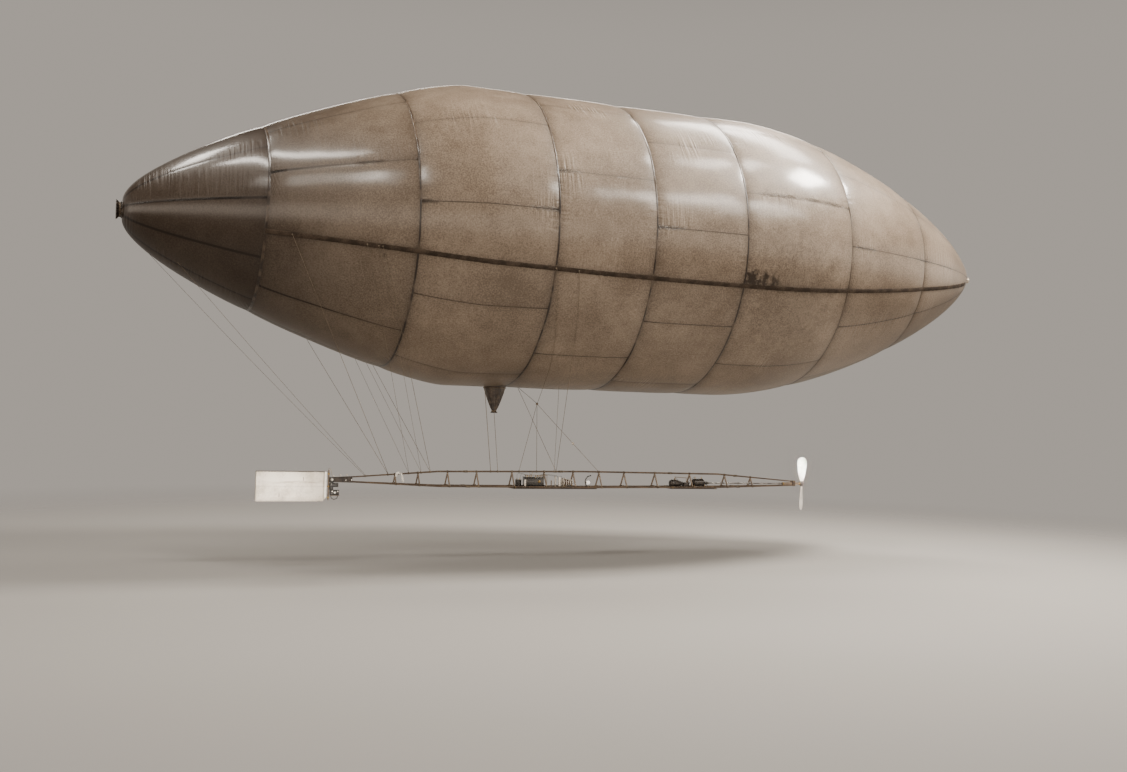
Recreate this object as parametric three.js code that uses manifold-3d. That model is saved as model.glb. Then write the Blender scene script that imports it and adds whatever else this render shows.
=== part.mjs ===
// Small unmanned hydrogen airship: a spindle gasbag in eight cloth sections, a triangular wood frame
// hung beneath it, a tractor propeller at the bow and a cloth rudder at the stern.
// Millimetres, +X to the bow, +Y to port, +Z up. The origin is on the gasbag's axis, midway between
// its tips.
import * as THREE from "three";
import { mergeVertices } from "three/addons/utils/BufferGeometryUtils.js";
import Module from "manifold-3d";

const wasm = await Module();
wasm.setup();
const { Manifold, Mesh: SolidMesh } = wasm;
const rad = THREE.MathUtils.degToRad;

// Clearance between pieces that touch
const GAP = 0.3;

// The two hands of the airship
const HANDS = [
  { hand: "starboard", side: -1 },
  { hand: "port", side: 1 },
];

// Gasbag
const BAG_HALF_LENGTH = 3600;
const BAG_RADIUS = 1124;
const BAG_SKIN = 10;
const BAG_SIDES = 60;
const BAG_STEP = 260;
const TIP_STEPS = 10;
const RING_SEAMS = [-2712, -1763, -809, -60, 683, 1655, 2595];
const STERN_OUTLINE = { shoulder: 1252, pull: 372, bluff: 406, end: 66 };
const BOW_OUTLINE = { shoulder: 1010, pull: 830, bluff: 520, end: 24 };
const BOW_SET_BACK = 326;
const STERN_TIE = [[0, 0], [0, 60], [12, 48], [22, 50], [40, 66], [40, 0]];
const BOW_TIE = [[0, 0], [0, 23], [8, 18], [18, 26], [34, 20], [38, 0]];

// Load bands along both flanks, measured below the gasbag's equator
const BAND_WIDTH = 30;
const BAND_THICK = 4;
const BAND_LIFT = 0.8;
// The sine of the bands' angle above the beam is this polynomial of the station in metres, lowest power first
const BAND_SINES = [-0.2942, -0.0122, 0.00841, 0.00042, -0.00051];
const BAND_BOW_END = 3420;

// Filling neck under the gasbag
const NECK_X = -868;
const NECK_TOP_RADIUS = 85;
const NECK_TIE_RADIUS = 18;
const NECK_TIE_Z = -1306;
const NECK_END_Z = -1322;
const NECK_SKIN = 6;
const NECK_HOLE_RADIUS = 40;

// Frame: columns are the station, the height of the top chord and of the bottom chords, half the frame's
// width and the chords' radius there. CHORD_FLAT is the share of that radius between a chord's middle and
// its flats.
const CHORD = 7;
const CHORD_SIDES = 8;
const CHORD_FLAT = Math.cos(Math.PI / CHORD_SIDES);
const FRAME_STATIONS = [
  { x: -2085, top: -1831, bottom: -1852, half: 11, chord: 5 },
  { x: -1300, top: -1776, bottom: -1884, half: 63, chord: CHORD },
  { x: -100, top: -1767, bottom: -1888, half: 65, chord: CHORD },
  { x: 1100, top: -1777, bottom: -1882, half: 60, chord: CHORD },
  { x: 1820, top: -1832, bottom: -1866, half: 16, chord: 5 },
];
const CROSS_FRAMES = [-1631, -1454, -1224, -993, -706, -440, -195, 29, 248, 523, 840, 1167, 1415];
const STRIP = 8;
const STRUT_HEIGHT = 5;

// Stays: columns are the station on the top chord and the station on the load bands
const STAY_RADIUS = 1.5;
const STAY_PAIRS = [
  { name: "aft", chordX: -1684, bandX: -2556 },
  { name: "main", chordX: -1361, bandX: -1990 },
  { name: "fore", chordX: -340, bandX: -640 },
];
const STAY_CLEAR = 0.6;
const STAY_POINTS = 20;
const STAY_PULLS = 500;
const CROW_FOOT = { x: -515, z: -1243, radius: 11, bandX: -809, chordXs: [-648, -503, 18] };

// Propeller
const SHAFT_Z = -1852;
const SHAFT_RADIUS = 5;
const SHAFT_START = 990;
const SLEEVE = { start: 1727, end: 1903, outer: 11, inner: 5.6 };
const BOW_BLOCK_LONG = 24;
const HUB = { start: 1908, end: 1934, radius: 13 };
// The blade is a flat paddle, set at one angle from the disc. Columns: distance from the shaft, width, thickness
const BLADE_PITCH = 53;
const BLADE_STATIONS = [
  { r: 6, width: 16, thick: 12 },
  { r: 16, width: 20, thick: 10 },
  { r: 28, width: 28, thick: 7 },
  { r: 50, width: 44, thick: 6 },
  { r: 88, width: 61, thick: 5 },
  { r: 122, width: 71, thick: 5 },
  { r: 154, width: 79, thick: 5 },
  { r: 180, width: 80, thick: 5 },
  { r: 200, width: 72, thick: 5 },
  { r: 214, width: 54, thick: 4 },
  { r: 223, width: 22, thick: 3 },
];

// Rudder and its post
const POST = { x: -2124, top: -1773, bottom: -1992, radius: 5 };
const RUDDER = { aft: -2647, fore: -2138, top: -1784, bottom: -2002, corner: 28, thick: 6 };
const RUDDER_EYES = [-1800, -1892, -1973];
const EYE = { inner: 5.6, outer: 9, height: 14 };

// Steering gear under the block that closes the frame's stern end
const STERN_BLOCK = { half: 18, bottom: -1862, top: -1822 };
const STEERING_HANGER = { from: -2110, to: -2090, half: 8 };
const STEERING_MOTOR = { from: -2113, to: -2048, half: 20, bottom: -1956, top: -1917 };
const STEERING_HOOP = { x: -2080, radius: 26, drop: 30, rod: 3, end: -1956.8, bends: 10 };

// Boards under the bottom chords, and what stands on them
const BOARD_THICK = 6;
const RECEIVER_BOARD = { from: -715, to: -20, half: 78 };
const RELAY_DRUM = { x: -652, radius: 26, height: 62 };
const RECEIVER_BOX = { from: -604, to: -452, half: 42, height: 84 };
const COIL_BASE = { from: -290, to: -206, half: 40, height: 14 };
const COILS = { xs: [-268, -228], ys: [-20, 20], radius: 13, from: 10, to: 78 };
const LAMP_PIPE = { radius: 4, path: [[-70, 0], [-70, 8], [-84, 30], [-87, 58], [-70, 86], [-44, 96]] };
const LAMP_GLOBE = { x: -63.8, height: 40, radius: 17 };
const MOTOR_BOARD = { from: 640, to: 1060, half: 74 };
const MAGNETO = [[771, 0], [771, 14], [730, 30], [680, 34], [664, 26], [660, 0]];
const MAGNETO_RADIUS = 34;
const GEAR_BOX = { from: 782, to: 830, half: 22, height: 44 };
const MOTOR_FEET = { from: 862, to: 978, half: 34, height: 16 };
const MOTOR_DRUM = { from: 868, to: 972, radius: 36, boss: 12, bossEnd: 986 };

function solidFrom(geometry) {
  const bare = geometry.clone();
  bare.deleteAttribute("normal");
  bare.deleteAttribute("uv");
  const merged = mergeVertices(bare, 1e-4);
  return new Manifold(
    new SolidMesh({
      numProp: 3,
      vertProperties: merged.attributes.position.array,
      triVerts: new Uint32Array(merged.index.array),
    }),
  );
}

function geometryFrom(solid) {
  const mesh = solid.getMesh();
  const geometry = new THREE.BufferGeometry();
  geometry.setAttribute("position", new THREE.BufferAttribute(mesh.vertProperties, 3));
  geometry.setIndex(new THREE.BufferAttribute(mesh.triVerts, 1));
  return geometry;
}

function join(geometries) {
  return geometryFrom(geometries.map(solidFrom).reduce((a, b) => a.add(b)));
}

function cut(geometry, tools) {
  return geometryFrom(tools.map(solidFrom).reduce((a, b) => a.subtract(b), solidFrom(geometry)));
}

// Turns a closed geometry's faces outward: its signed volume comes out negative when they point in
function facingOut(geometry) {
  const index = geometry.index;
  const corner = [0, 1, 2].map(() => new THREE.Vector3());
  let volume = 0;
  for (let i = 0; i < index.count; i += 3) {
    corner.forEach((p, k) => p.fromBufferAttribute(geometry.attributes.position, index.getX(i + k)));
    volume += corner[0].dot(corner[1].clone().cross(corner[2]));
  }
  if (volume < 0) index.array.reverse();
  return geometry;
}

// A closed skin over matching rings of points, with a flat cap at each end
function loft(rings) {
  const sides = rings[0].length;
  const positions = rings.flat().flatMap((p) => [p.x, p.y, p.z]);
  const faces = [];
  for (let i = 0; i + 1 < rings.length; i++) {
    for (let k = 0; k < sides; k++) {
      const a = i * sides + k;
      const b = i * sides + ((k + 1) % sides);
      faces.push(a, b, a + sides, b, b + sides, a + sides);
    }
  }
  const last = (rings.length - 1) * sides;
  for (let k = 1; k + 1 < sides; k++) {
    faces.push(0, k + 1, k, last, last + k, last + k + 1);
  }
  const geometry = new THREE.BufferGeometry();
  geometry.setAttribute("position", new THREE.Float32BufferAttribute(positions, 3));
  geometry.setIndex(faces);
  return facingOut(geometry);
}

// A round rod through a list of points, of one radius or of a radius at each point
function rod(points, radius, sides = 8) {
  const rings = points.map((p, i) => {
    const ahead = points[Math.min(i + 1, points.length - 1)];
    const behind = points[Math.max(i - 1, 0)];
    const along = ahead.clone().sub(behind).normalize();
    const guide = Math.abs(along.y) < 0.8 ? new THREE.Vector3(0, 1, 0) : new THREE.Vector3(1, 0, 0);
    const u = guide.clone().cross(along).normalize();
    const v = along.clone().cross(u);
    const r = Array.isArray(radius) ? radius[i] : radius;
    return Array.from({ length: sides }, (_, k) => {
      const angle = ((k + 0.5) / sides) * Math.PI * 2;
      return p.clone().addScaledVector(u, r * Math.cos(angle)).addScaledVector(v, r * Math.sin(angle));
    });
  });
  return loft(rings);
}

// A round bar that runs along X through stations, its ends square to X
function barAlongX(points, radii, sides) {
  const rings = points.map((p, i) =>
    Array.from({ length: sides }, (_, k) => {
      const angle = ((k + 0.5) / sides) * Math.PI * 2;
      return new THREE.Vector3(p.x, p.y + radii[i] * Math.cos(angle), p.z + radii[i] * Math.sin(angle));
    }),
  );
  return loft(rings);
}

// A box between two opposite corners
function block(low, high) {
  const size = high.map((value, i) => value - low[i]);
  const middle = high.map((value, i) => (value + low[i]) / 2);
  return new THREE.BoxGeometry(...size).translate(...middle);
}

// A turned piece about a line along X: profile rows are [x, radius]
function turnedAlongX(profile, sides = 24) {
  const points = profile.map(([x, r]) => new THREE.Vector2(r, x));
  return facingOut(new THREE.LatheGeometry(points, sides).rotateZ(-Math.PI / 2));
}

// A turned piece about a line along Z: profile rows are [z, radius]
function turnedAlongZ(profile, sides = 24) {
  const points = profile.map(([z, r]) => new THREE.Vector2(r, z));
  return facingOut(new THREE.LatheGeometry(points, sides).rotateX(Math.PI / 2));
}

const finishes = {
  cloth: { color: 0x8d8272, roughness: 0.45, metalness: 0 },
  band: { color: 0x3f3429, roughness: 0.7, metalness: 0 },
  wood: { color: 0xa98a5e, roughness: 0.6, metalness: 0 },
  cord: { color: 0xc9bda6, roughness: 0.9, metalness: 0 },
  iron: { color: 0x2b2723, roughness: 0.5, metalness: 0.6 },
  brass: { color: 0xb08d4c, roughness: 0.35, metalness: 0.9 },
  glass: { color: 0xf0ebdf, roughness: 0.15, metalness: 0 },
  sheet: { color: 0xe6e1d6, roughness: 0.35, metalness: 0.2 },
  panel: { color: 0xd8cfbd, roughness: 0.8, metalness: 0 },
};

const airship = new THREE.Group();

function addPiece(name, finish, geometry) {
  const piece = new THREE.Mesh(geometry, new THREE.MeshStandardMaterial(finishes[finish]));
  piece.name = name;
  airship.add(piece);
}

// The gasbag's outline: straight amidships, and a curve from each shoulder to its tip.
// A positive inset gives the skin's inner face.
function outlineCurve(side, inset) {
  const shape = side < 0 ? STERN_OUTLINE : BOW_OUTLINE;
  const setBack = side < 0 ? 0 : BOW_SET_BACK;
  return new THREE.CubicBezierCurve(
    new THREE.Vector2(shape.shoulder, BAG_RADIUS - inset),
    new THREE.Vector2(shape.shoulder + shape.pull, BAG_RADIUS - inset),
    new THREE.Vector2(BAG_HALF_LENGTH - setBack - inset, shape.bluff - inset),
    new THREE.Vector2(BAG_HALF_LENGTH - inset, shape.end - Math.min(inset, shape.end / 2)),
  );
}

const outlines = new Map();

function bagRadius(x, inset = 0) {
  const side = x < 0 ? -1 : 1;
  const key = side * 1000 + inset;
  if (!outlines.has(key)) outlines.set(key, outlineCurve(side, inset));
  const curve = outlines.get(key);
  const reach = Math.abs(x);
  if (reach <= curve.v0.x) return curve.v0.y;
  let low = 0;
  let high = 1;
  for (let i = 0; i < 40; i++) {
    const middle = (low + high) / 2;
    if (curve.getPoint(middle).x < reach) low = middle;
    else high = middle;
  }
  return curve.getPoint(low).y;
}

// Even stations of the outline between two places
function bagStations(from, to) {
  const count = Math.ceil((to - from) / BAG_STEP);
  return Array.from({ length: count + 1 }, (_, i) => from + ((to - from) * i) / count);
}

// Stations from a ring seam to a tip, closer together towards the tip
function tipStations(seam, tip) {
  const reach = tip - seam;
  const share = (i) => Math.sin((i / TIP_STEPS) * (Math.PI / 2));
  return Array.from({ length: TIP_STEPS + 1 }, (_, i) => seam + reach * share(i));
}

function bagSection(stations) {
  const outer = stations.map((x) => [x, bagRadius(x)]);
  const inner = stations.map((x) => [x, bagRadius(x, BAG_SKIN)]).reverse();
  const profile = [...outer, ...inner, outer[0]];
  return turnedAlongX(profile, BAG_SIDES);
}

function bagCap(seam, side) {
  const tip = side * BAG_HALF_LENGTH;
  const outer = tipStations(seam, tip).map((x) => [x, bagRadius(x)]);
  const innerTip = tip - side * BAG_SKIN;
  const inner = tipStations(seam, innerTip).map((x) => [x, bagRadius(x, BAG_SKIN)]);
  const profile = [[tip, 0], ...outer.reverse(), ...inner, [innerTip, 0]];
  return turnedAlongX(profile, BAG_SIDES);
}

function addGasbag() {
  const half = GAP / 2;
  const hole = new THREE.CylinderGeometry(NECK_HOLE_RADIUS, NECK_HOLE_RADIUS, 400, 24)
    .rotateX(Math.PI / 2)
    .translate(NECK_X, 0, -BAG_RADIUS);
  addPiece("gasbag_stern_cap", "cloth", bagCap(RING_SEAMS[0] - half, -1));
  for (let i = 0; i + 1 < RING_SEAMS.length; i++) {
    const from = RING_SEAMS[i] + half;
    const to = RING_SEAMS[i + 1] - half;
    const section = bagSection(bagStations(from, to));
    const hasNeck = from < NECK_X && NECK_X < to;
    addPiece(`gasbag_section_${i + 1}`, "cloth", hasNeck ? cut(section, [hole]) : section);
  }
  addPiece("gasbag_bow_cap", "cloth", bagCap(RING_SEAMS.at(-1) + half, 1));
}

// The gathered cloth outside each tip: the tables give the distance from the tip and the radius
function addTies() {
  const tip = BAG_HALF_LENGTH + GAP;
  addPiece("stern_tie", "band", turnedAlongX(STERN_TIE.map(([x, r]) => [-tip - x, r])));
  addPiece("bow_tie", "cord", turnedAlongX(BOW_TIE.map(([x, r]) => [tip + x, r])));
}

function bandAngle(x) {
  return Math.asin(BAND_SINES.reduce((sum, factor, power) => sum + factor * (x / 1000) ** power, 0));
}

// A point off the gasbag's skin: side is -1 to starboard and 1 to port
function onBag(x, angle, side, lift) {
  const r = bagRadius(x) + lift;
  return new THREE.Vector3(x, side * r * Math.cos(angle), r * Math.sin(angle));
}

function addLoadBand({ hand, side }) {
  const edges = [...RING_SEAMS, BAND_BOW_END];
  const stations = [];
  for (let i = 0; i + 1 < edges.length; i++) {
    const last = edges[i + 1] === BAND_BOW_END;
    const run = last
      ? tipStations(edges[i] + GAP / 2, BAG_HALF_LENGTH).filter((x) => x < BAND_BOW_END)
      : bagStations(edges[i] + GAP / 2, edges[i + 1] - GAP / 2);
    stations.push(...run);
  }
  const rings = stations.map((x) => {
    const half = BAND_WIDTH / 2 / bagRadius(x);
    const low = bandAngle(x) - half;
    const high = bandAngle(x) + half;
    return [
      onBag(x, low, side, BAND_LIFT),
      onBag(x, low, side, BAND_LIFT + BAND_THICK),
      onBag(x, high, side, BAND_LIFT + BAND_THICK),
      onBag(x, high, side, BAND_LIFT),
    ];
  });
  addPiece(`load_band_${hand}`, "band", loft(rings));
}

function addNeck() {
  const top = -BAG_RADIUS + 40;
  const profile = [
    [NECK_END_Z, 0],
    [NECK_END_Z, 26],
    [NECK_TIE_Z, NECK_TIE_RADIUS],
    [top, NECK_TOP_RADIUS + 10],
    [top, NECK_TOP_RADIUS + 10 - NECK_SKIN],
    [NECK_TIE_Z + 10, NECK_TIE_RADIUS - NECK_SKIN],
    [NECK_TIE_Z + 10, 0],
  ];
  const cone = turnedAlongZ(profile).translate(NECK_X, 0, 0);
  const covered = [
    ...bagStations(RING_SEAMS[1] + GAP / 2, RING_SEAMS[2] - GAP / 2),
    ...bagStations(RING_SEAMS[2] + GAP / 2, RING_SEAMS[3] - GAP / 2),
  ];
  const outline = covered.map((x) => [x, bagRadius(x) + GAP]);
  const bag = turnedAlongX([[covered[0], 0], ...outline, [covered.at(-1), 0]], BAG_SIDES);
  addPiece("filling_neck", "cloth", cut(cone, [bag]));
}

// The frame's sizes at a station
function frameAt(x) {
  const rows = FRAME_STATIONS;
  let i = 0;
  while (i + 2 < rows.length && x > rows[i + 1].x) i++;
  const t = (x - rows[i].x) / (rows[i + 1].x - rows[i].x);
  const between = (key) => THREE.MathUtils.lerp(rows[i][key], rows[i + 1][key], t);
  return { top: between("top"), bottom: between("bottom"), half: between("half"), chord: between("chord") };
}

function addChords() {
  const radii = FRAME_STATIONS.map((row) => row.chord);
  const topLine = FRAME_STATIONS.map((row) => new THREE.Vector3(row.x, 0, row.top));
  addPiece("top_chord", "wood", barAlongX(topLine, radii, CHORD_SIDES));
  for (const { hand, side } of HANDS) {
    const line = FRAME_STATIONS.map((row) => new THREE.Vector3(row.x, side * row.half, row.bottom));
    addPiece(`bottom_chord_${hand}`, "wood", barAlongX(line, radii, CHORD_SIDES));
  }
}

// An A of thin strips: its head is under the top chord and its feet are on the bottom chords
function crossFrame(x) {
  const at = frameAt(x);
  const head = at.top - at.chord - GAP;
  const foot = at.bottom + at.chord + GAP;
  const shape = new THREE.Shape();
  shape.moveTo(-6, head);
  shape.lineTo(-at.half - 3, foot);
  shape.lineTo(at.half + 3, foot);
  shape.lineTo(6, head);
  const opening = new THREE.Path();
  const sill = foot + STRUT_HEIGHT;
  const wide = at.half - 9 - STRUT_HEIGHT / 2;
  opening.moveTo(0, head - 12);
  opening.lineTo(wide, sill);
  opening.lineTo(-wide, sill);
  shape.holes.push(opening);
  const plate = new THREE.ExtrudeGeometry(shape, { depth: STRIP, bevelEnabled: false });
  return plate.rotateX(Math.PI / 2).rotateZ(Math.PI / 2).translate(x - STRIP / 2, 0, 0);
}

function addCrossFrames() {
  CROSS_FRAMES.forEach((x, i) => addPiece(`cross_frame_${i + 1}`, "wood", crossFrame(x)));
}

// A taut stay from a point below the gasbag to the load band: its points are pulled straight between their
// neighbours and pushed back out of the cloth until they rest
function stayPath(start, bandX, side) {
  const lift = BAND_LIFT + BAND_THICK + STAY_CLEAR + STAY_RADIUS;
  const end = onBag(bandX, bandAngle(bandX), side, lift);
  const points = Array.from({ length: STAY_POINTS }, (_, i) =>
    start.clone().lerp(end, i / (STAY_POINTS - 1)),
  );
  for (let pull = 0; pull < STAY_PULLS; pull++) {
    for (let i = 1; i + 1 < points.length; i++) {
      const p = points[i].addVectors(points[i - 1], points[i + 1]).multiplyScalar(0.5);
      const reach = Math.hypot(p.y, p.z);
      const least = bagRadius(p.x) + lift;
      if (reach < least) {
        p.y *= least / reach;
        p.z *= least / reach;
      }
    }
  }
  return points;
}

function chordTop(x, side) {
  const at = frameAt(x);
  const reach = at.chord + GAP + STAY_RADIUS;
  const lean = side * rad(38);
  return new THREE.Vector3(x, reach * Math.sin(lean), at.top + reach * Math.cos(lean));
}

function addStays() {
  for (const pair of STAY_PAIRS) {
    for (const { hand, side } of HANDS) {
      const path = stayPath(chordTop(pair.chordX, side), pair.bandX, side);
      addPiece(`stay_${pair.name}_${hand}`, "cord", rod(path, STAY_RADIUS, 6));
    }
  }
  const knot = new THREE.Vector3(CROW_FOOT.x, 0, CROW_FOOT.z);
  const reach = CROW_FOOT.radius + GAP;
  addPiece(
    "crow_foot_ring",
    "cord",
    new THREE.SphereGeometry(CROW_FOOT.radius, 12, 8).translate(knot.x, knot.y, knot.z),
  );
  for (const { hand, side } of HANDS) {
    const start = knot.clone().add(new THREE.Vector3(0, side * reach * 0.8, reach * 0.6));
    const path = stayPath(start, CROW_FOOT.bandX, side);
    addPiece(`crow_foot_leg_${hand}`, "cord", rod(path, STAY_RADIUS, 6));
  }
  CROW_FOOT.chordXs.forEach((x, i) => {
    const at = frameAt(x);
    const foot = new THREE.Vector3(x, 0, at.top + at.chord * CHORD_FLAT + GAP);
    const along = foot.clone().sub(knot).normalize();
    foot.z += STAY_RADIUS * Math.abs(along.x);
    const start = knot.clone().addScaledVector(along, reach);
    addPiece(`crow_foot_fall_${i + 1}`, "cord", rod([start, foot], STAY_RADIUS, 6));
  });
}

// One propeller blade along +Z: flat-faced sections from the hub to the tip
function blade() {
  const across = new THREE.Vector3(Math.sin(rad(BLADE_PITCH)), -Math.cos(rad(BLADE_PITCH)), 0);
  const face = new THREE.Vector3(Math.cos(rad(BLADE_PITCH)), Math.sin(rad(BLADE_PITCH)), 0);
  const rings = BLADE_STATIONS.map(({ r, width, thick }) => {
    const middle = new THREE.Vector3((HUB.start + HUB.end) / 2, 0, SHAFT_Z + r);
    const corner = (a, b) =>
      middle.clone().addScaledVector(across, (a * width) / 2).addScaledVector(face, (b * thick) / 2);
    return [corner(-1, 0), corner(-0.6, -1), corner(0.6, -1), corner(1, 0), corner(0.6, 1), corner(-0.6, 1)];
  });
  return loft(rings);
}

function addPropeller() {
  const hub = turnedAlongX([
    [HUB.end, 0],
    [HUB.end, HUB.radius],
    [HUB.start, HUB.radius],
    [HUB.start, 0],
  ]);
  const upper = blade();
  const lower = blade()
    .translate(0, 0, -SHAFT_Z)
    .rotateX(Math.PI)
    .translate(0, 0, SHAFT_Z);
  const turnedHub = hub.translate(0, 0, SHAFT_Z);
  addPiece("propeller", "sheet", join([turnedHub, upper, lower]));
  const shaft = turnedAlongX([
    [HUB.start - GAP, 0],
    [HUB.start - GAP, SHAFT_RADIUS],
    [SHAFT_START, SHAFT_RADIUS],
    [SHAFT_START, 0],
  ]);
  addPiece("drive_shaft", "wood", shaft.translate(0, 0, SHAFT_Z));
  const tube = turnedAlongX([
    [SLEEVE.end, SLEEVE.inner],
    [SLEEVE.end, SLEEVE.outer],
    [SLEEVE.start, SLEEVE.outer],
    [SLEEVE.start, SLEEVE.inner],
    [SLEEVE.end, SLEEVE.inner],
  ]);
  addPiece("shaft_sleeve", "wood", tube.translate(0, 0, SHAFT_Z));
  const faceX = FRAME_STATIONS.at(-1).x + GAP;
  const noseBlock = block([faceX, -22, SHAFT_Z - 20], [faceX + BOW_BLOCK_LONG, 22, SHAFT_Z + 26]);
  const bore = new THREE.CylinderGeometry(SLEEVE.outer + GAP, SLEEVE.outer + GAP, 120, 24)
    .rotateZ(Math.PI / 2)
    .translate(faceX + BOW_BLOCK_LONG / 2, 0, SHAFT_Z);
  addPiece("bow_block", "wood", cut(noseBlock, [bore]));
}

function addRudder() {
  const { aft, fore, top, bottom, corner, thick } = RUDDER;
  const shape = new THREE.Shape();
  shape.moveTo(aft, top);
  shape.lineTo(aft, bottom);
  shape.lineTo(fore - corner, bottom);
  shape.lineTo(fore, bottom + corner);
  shape.lineTo(fore, top);
  const panel = new THREE.ExtrudeGeometry(shape, { depth: thick, bevelEnabled: false })
    .rotateX(Math.PI / 2)
    .translate(0, thick / 2, 0);
  const pieces = [panel];
  for (const z of RUDDER_EYES) {
    const low = z - EYE.height / 2;
    const high = z + EYE.height / 2;
    const ring = turnedAlongZ([
      [low, EYE.inner],
      [low, EYE.outer],
      [high, EYE.outer],
      [high, EYE.inner],
      [low, EYE.inner],
    ]).translate(POST.x, 0, 0);
    const arm = block([fore - 2, -thick / 2, low], [POST.x - (EYE.inner + EYE.outer) / 2, thick / 2, high]);
    pieces.push(ring, arm);
  }
  addPiece("rudder", "panel", join(pieces));
  const post = turnedAlongZ([
    [POST.bottom, 0],
    [POST.bottom, POST.radius],
    [POST.top, POST.radius],
    [POST.top, 0],
  ]).translate(POST.x, 0, 0);
  addPiece("rudder_post", "wood", post);
}

// The block that closes the frame's stern end, and the steering motor hung beneath it
function addSternGear() {
  const face = FRAME_STATIONS[0].x - GAP;
  const postFace = POST.x + POST.radius + GAP;
  const wide = STERN_BLOCK.half;
  addPiece(
    "stern_block",
    "iron",
    block([postFace, -wide, STERN_BLOCK.bottom], [face, wide, STERN_BLOCK.top]),
  );
  const arm = STEERING_HANGER;
  const body = STEERING_MOTOR;
  const hanger = block([arm.from, -arm.half, body.top - 3], [arm.to, arm.half, STERN_BLOCK.bottom - GAP]);
  const motor = block([body.from, -body.half, body.bottom], [body.to, body.half, body.top]);
  addPiece("steering_motor", "iron", join([hanger, motor]));
  const { x, radius, drop, end, bends } = STEERING_HOOP;
  const hoop = Array.from({ length: bends + 1 }, (_, i) => {
    const angle = Math.PI * (i / bends);
    return new THREE.Vector3(x - radius * Math.cos(angle), 0, end - drop * Math.sin(angle));
  });
  addPiece("steering_hoop", "iron", rod(hoop, STEERING_HOOP.rod, 6));
}

// A board under the bottom chords: gives back the height at which things stand on it
function addBoard(name, { from, to, half }) {
  const places = [from, ...FRAME_STATIONS.map((row) => row.x).filter((x) => x > from && x < to), to];
  const lowest = Math.min(...places.map((x) => frameAt(x).bottom));
  const top = lowest - CHORD * CHORD_FLAT - GAP;
  addPiece(name, "wood", block([from, -half, top - BOARD_THICK], [to, half, top]));
  return top + GAP;
}

// A box that stands on a board
function standing({ from, to, half, height }, seat) {
  return block([from, -half, seat], [to, half, seat + height]);
}

// The wireless receiver, its relay, its coils and a lamp on a bent pipe, on a board amidships
function addReceiver() {
  const seat = addBoard("receiver_board", RECEIVER_BOARD);
  const { x, radius, height } = RELAY_DRUM;
  const drum = turnedAlongZ([
    [seat, 0],
    [seat, radius],
    [seat + height, radius],
    [seat + height, 0],
  ]);
  addPiece("relay_drum", "iron", drum.translate(x, 0, 0));
  addPiece("receiver_box", "iron", standing(RECEIVER_BOX, seat));
  const coil = [
    [seat + COILS.from, 0],
    [seat + COILS.from, COILS.radius],
    [seat + COILS.to, COILS.radius],
    [seat + COILS.to, 0],
  ];
  const coils = COILS.xs.flatMap((cx) => COILS.ys.map((cy) => turnedAlongZ(coil).translate(cx, cy, 0)));
  addPiece("coil_stack", "brass", join([standing(COIL_BASE, seat), ...coils]));
  const pipe = LAMP_PIPE.path.map(([px, rise]) => new THREE.Vector3(px, 0, seat + rise));
  addPiece("lamp_pipe", "iron", rod(pipe, LAMP_PIPE.radius));
  const globe = new THREE.SphereGeometry(LAMP_GLOBE.radius, 16, 12);
  addPiece("lamp_globe", "glass", globe.translate(LAMP_GLOBE.x, 0, seat + LAMP_GLOBE.height));
}

// The motor, its gear box and its magneto on a board forward
function addMotor() {
  const seat = addBoard("motor_board", MOTOR_BOARD);
  addPiece("magneto", "iron", turnedAlongX(MAGNETO).translate(0, 0, seat + MAGNETO_RADIUS));
  addPiece("gear_box", "iron", standing(GEAR_BOX, seat));
  const { from, to, radius, boss, bossEnd } = MOTOR_DRUM;
  const drum = turnedAlongX([
    [bossEnd, 0],
    [bossEnd, boss],
    [to, boss],
    [to, radius],
    [from, radius],
    [from, 0],
  ]).translate(0, 0, SHAFT_Z);
  addPiece("drive_motor", "iron", join([standing(MOTOR_FEET, seat), drum]));
}

addGasbag();
addTies();
HANDS.forEach(addLoadBand);
addNeck();
addChords();
addCrossFrames();
addStays();
addPropeller();
addRudder();
addSternGear();
addReceiver();
addMotor();

export default airship;
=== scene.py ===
# Small unmanned hydrogen airship. Metres, +X to the bow, +Y to port, +Z up.
import math

import bmesh
import bpy
import numpy as np
from mathutils import Matrix, Vector, noise
from mathutils.bvhtree import BVHTree


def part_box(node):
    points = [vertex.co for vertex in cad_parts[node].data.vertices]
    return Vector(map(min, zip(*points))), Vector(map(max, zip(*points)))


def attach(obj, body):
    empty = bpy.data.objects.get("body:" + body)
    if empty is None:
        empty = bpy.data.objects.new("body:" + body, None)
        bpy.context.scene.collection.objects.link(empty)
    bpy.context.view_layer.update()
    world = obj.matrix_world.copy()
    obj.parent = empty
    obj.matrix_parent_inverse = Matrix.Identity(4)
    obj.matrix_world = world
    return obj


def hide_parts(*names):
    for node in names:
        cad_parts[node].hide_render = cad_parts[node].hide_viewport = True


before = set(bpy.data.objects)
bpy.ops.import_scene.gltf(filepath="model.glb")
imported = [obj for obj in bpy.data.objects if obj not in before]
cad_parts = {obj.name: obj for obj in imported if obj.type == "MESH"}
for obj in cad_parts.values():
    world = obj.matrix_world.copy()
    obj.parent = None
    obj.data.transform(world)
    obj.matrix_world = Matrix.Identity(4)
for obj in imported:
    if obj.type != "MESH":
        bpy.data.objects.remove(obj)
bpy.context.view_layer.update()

# Camera
# It stands off the starboard quarter, a little over a metre above the floor, and looks level at the gasbag
# above it.
eye = Vector((-3.8928, -8.9028, -1.3146))
eye_right = Vector((0.92660, -0.37498, 0.02841))
eye_ahead = Vector((0.37481, 0.92703, 0.01149))
lens = bpy.data.cameras.new("camera")
lens.sensor_width = 36.0
lens.lens = 38.99
lens.shift_y = 0.0123
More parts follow.
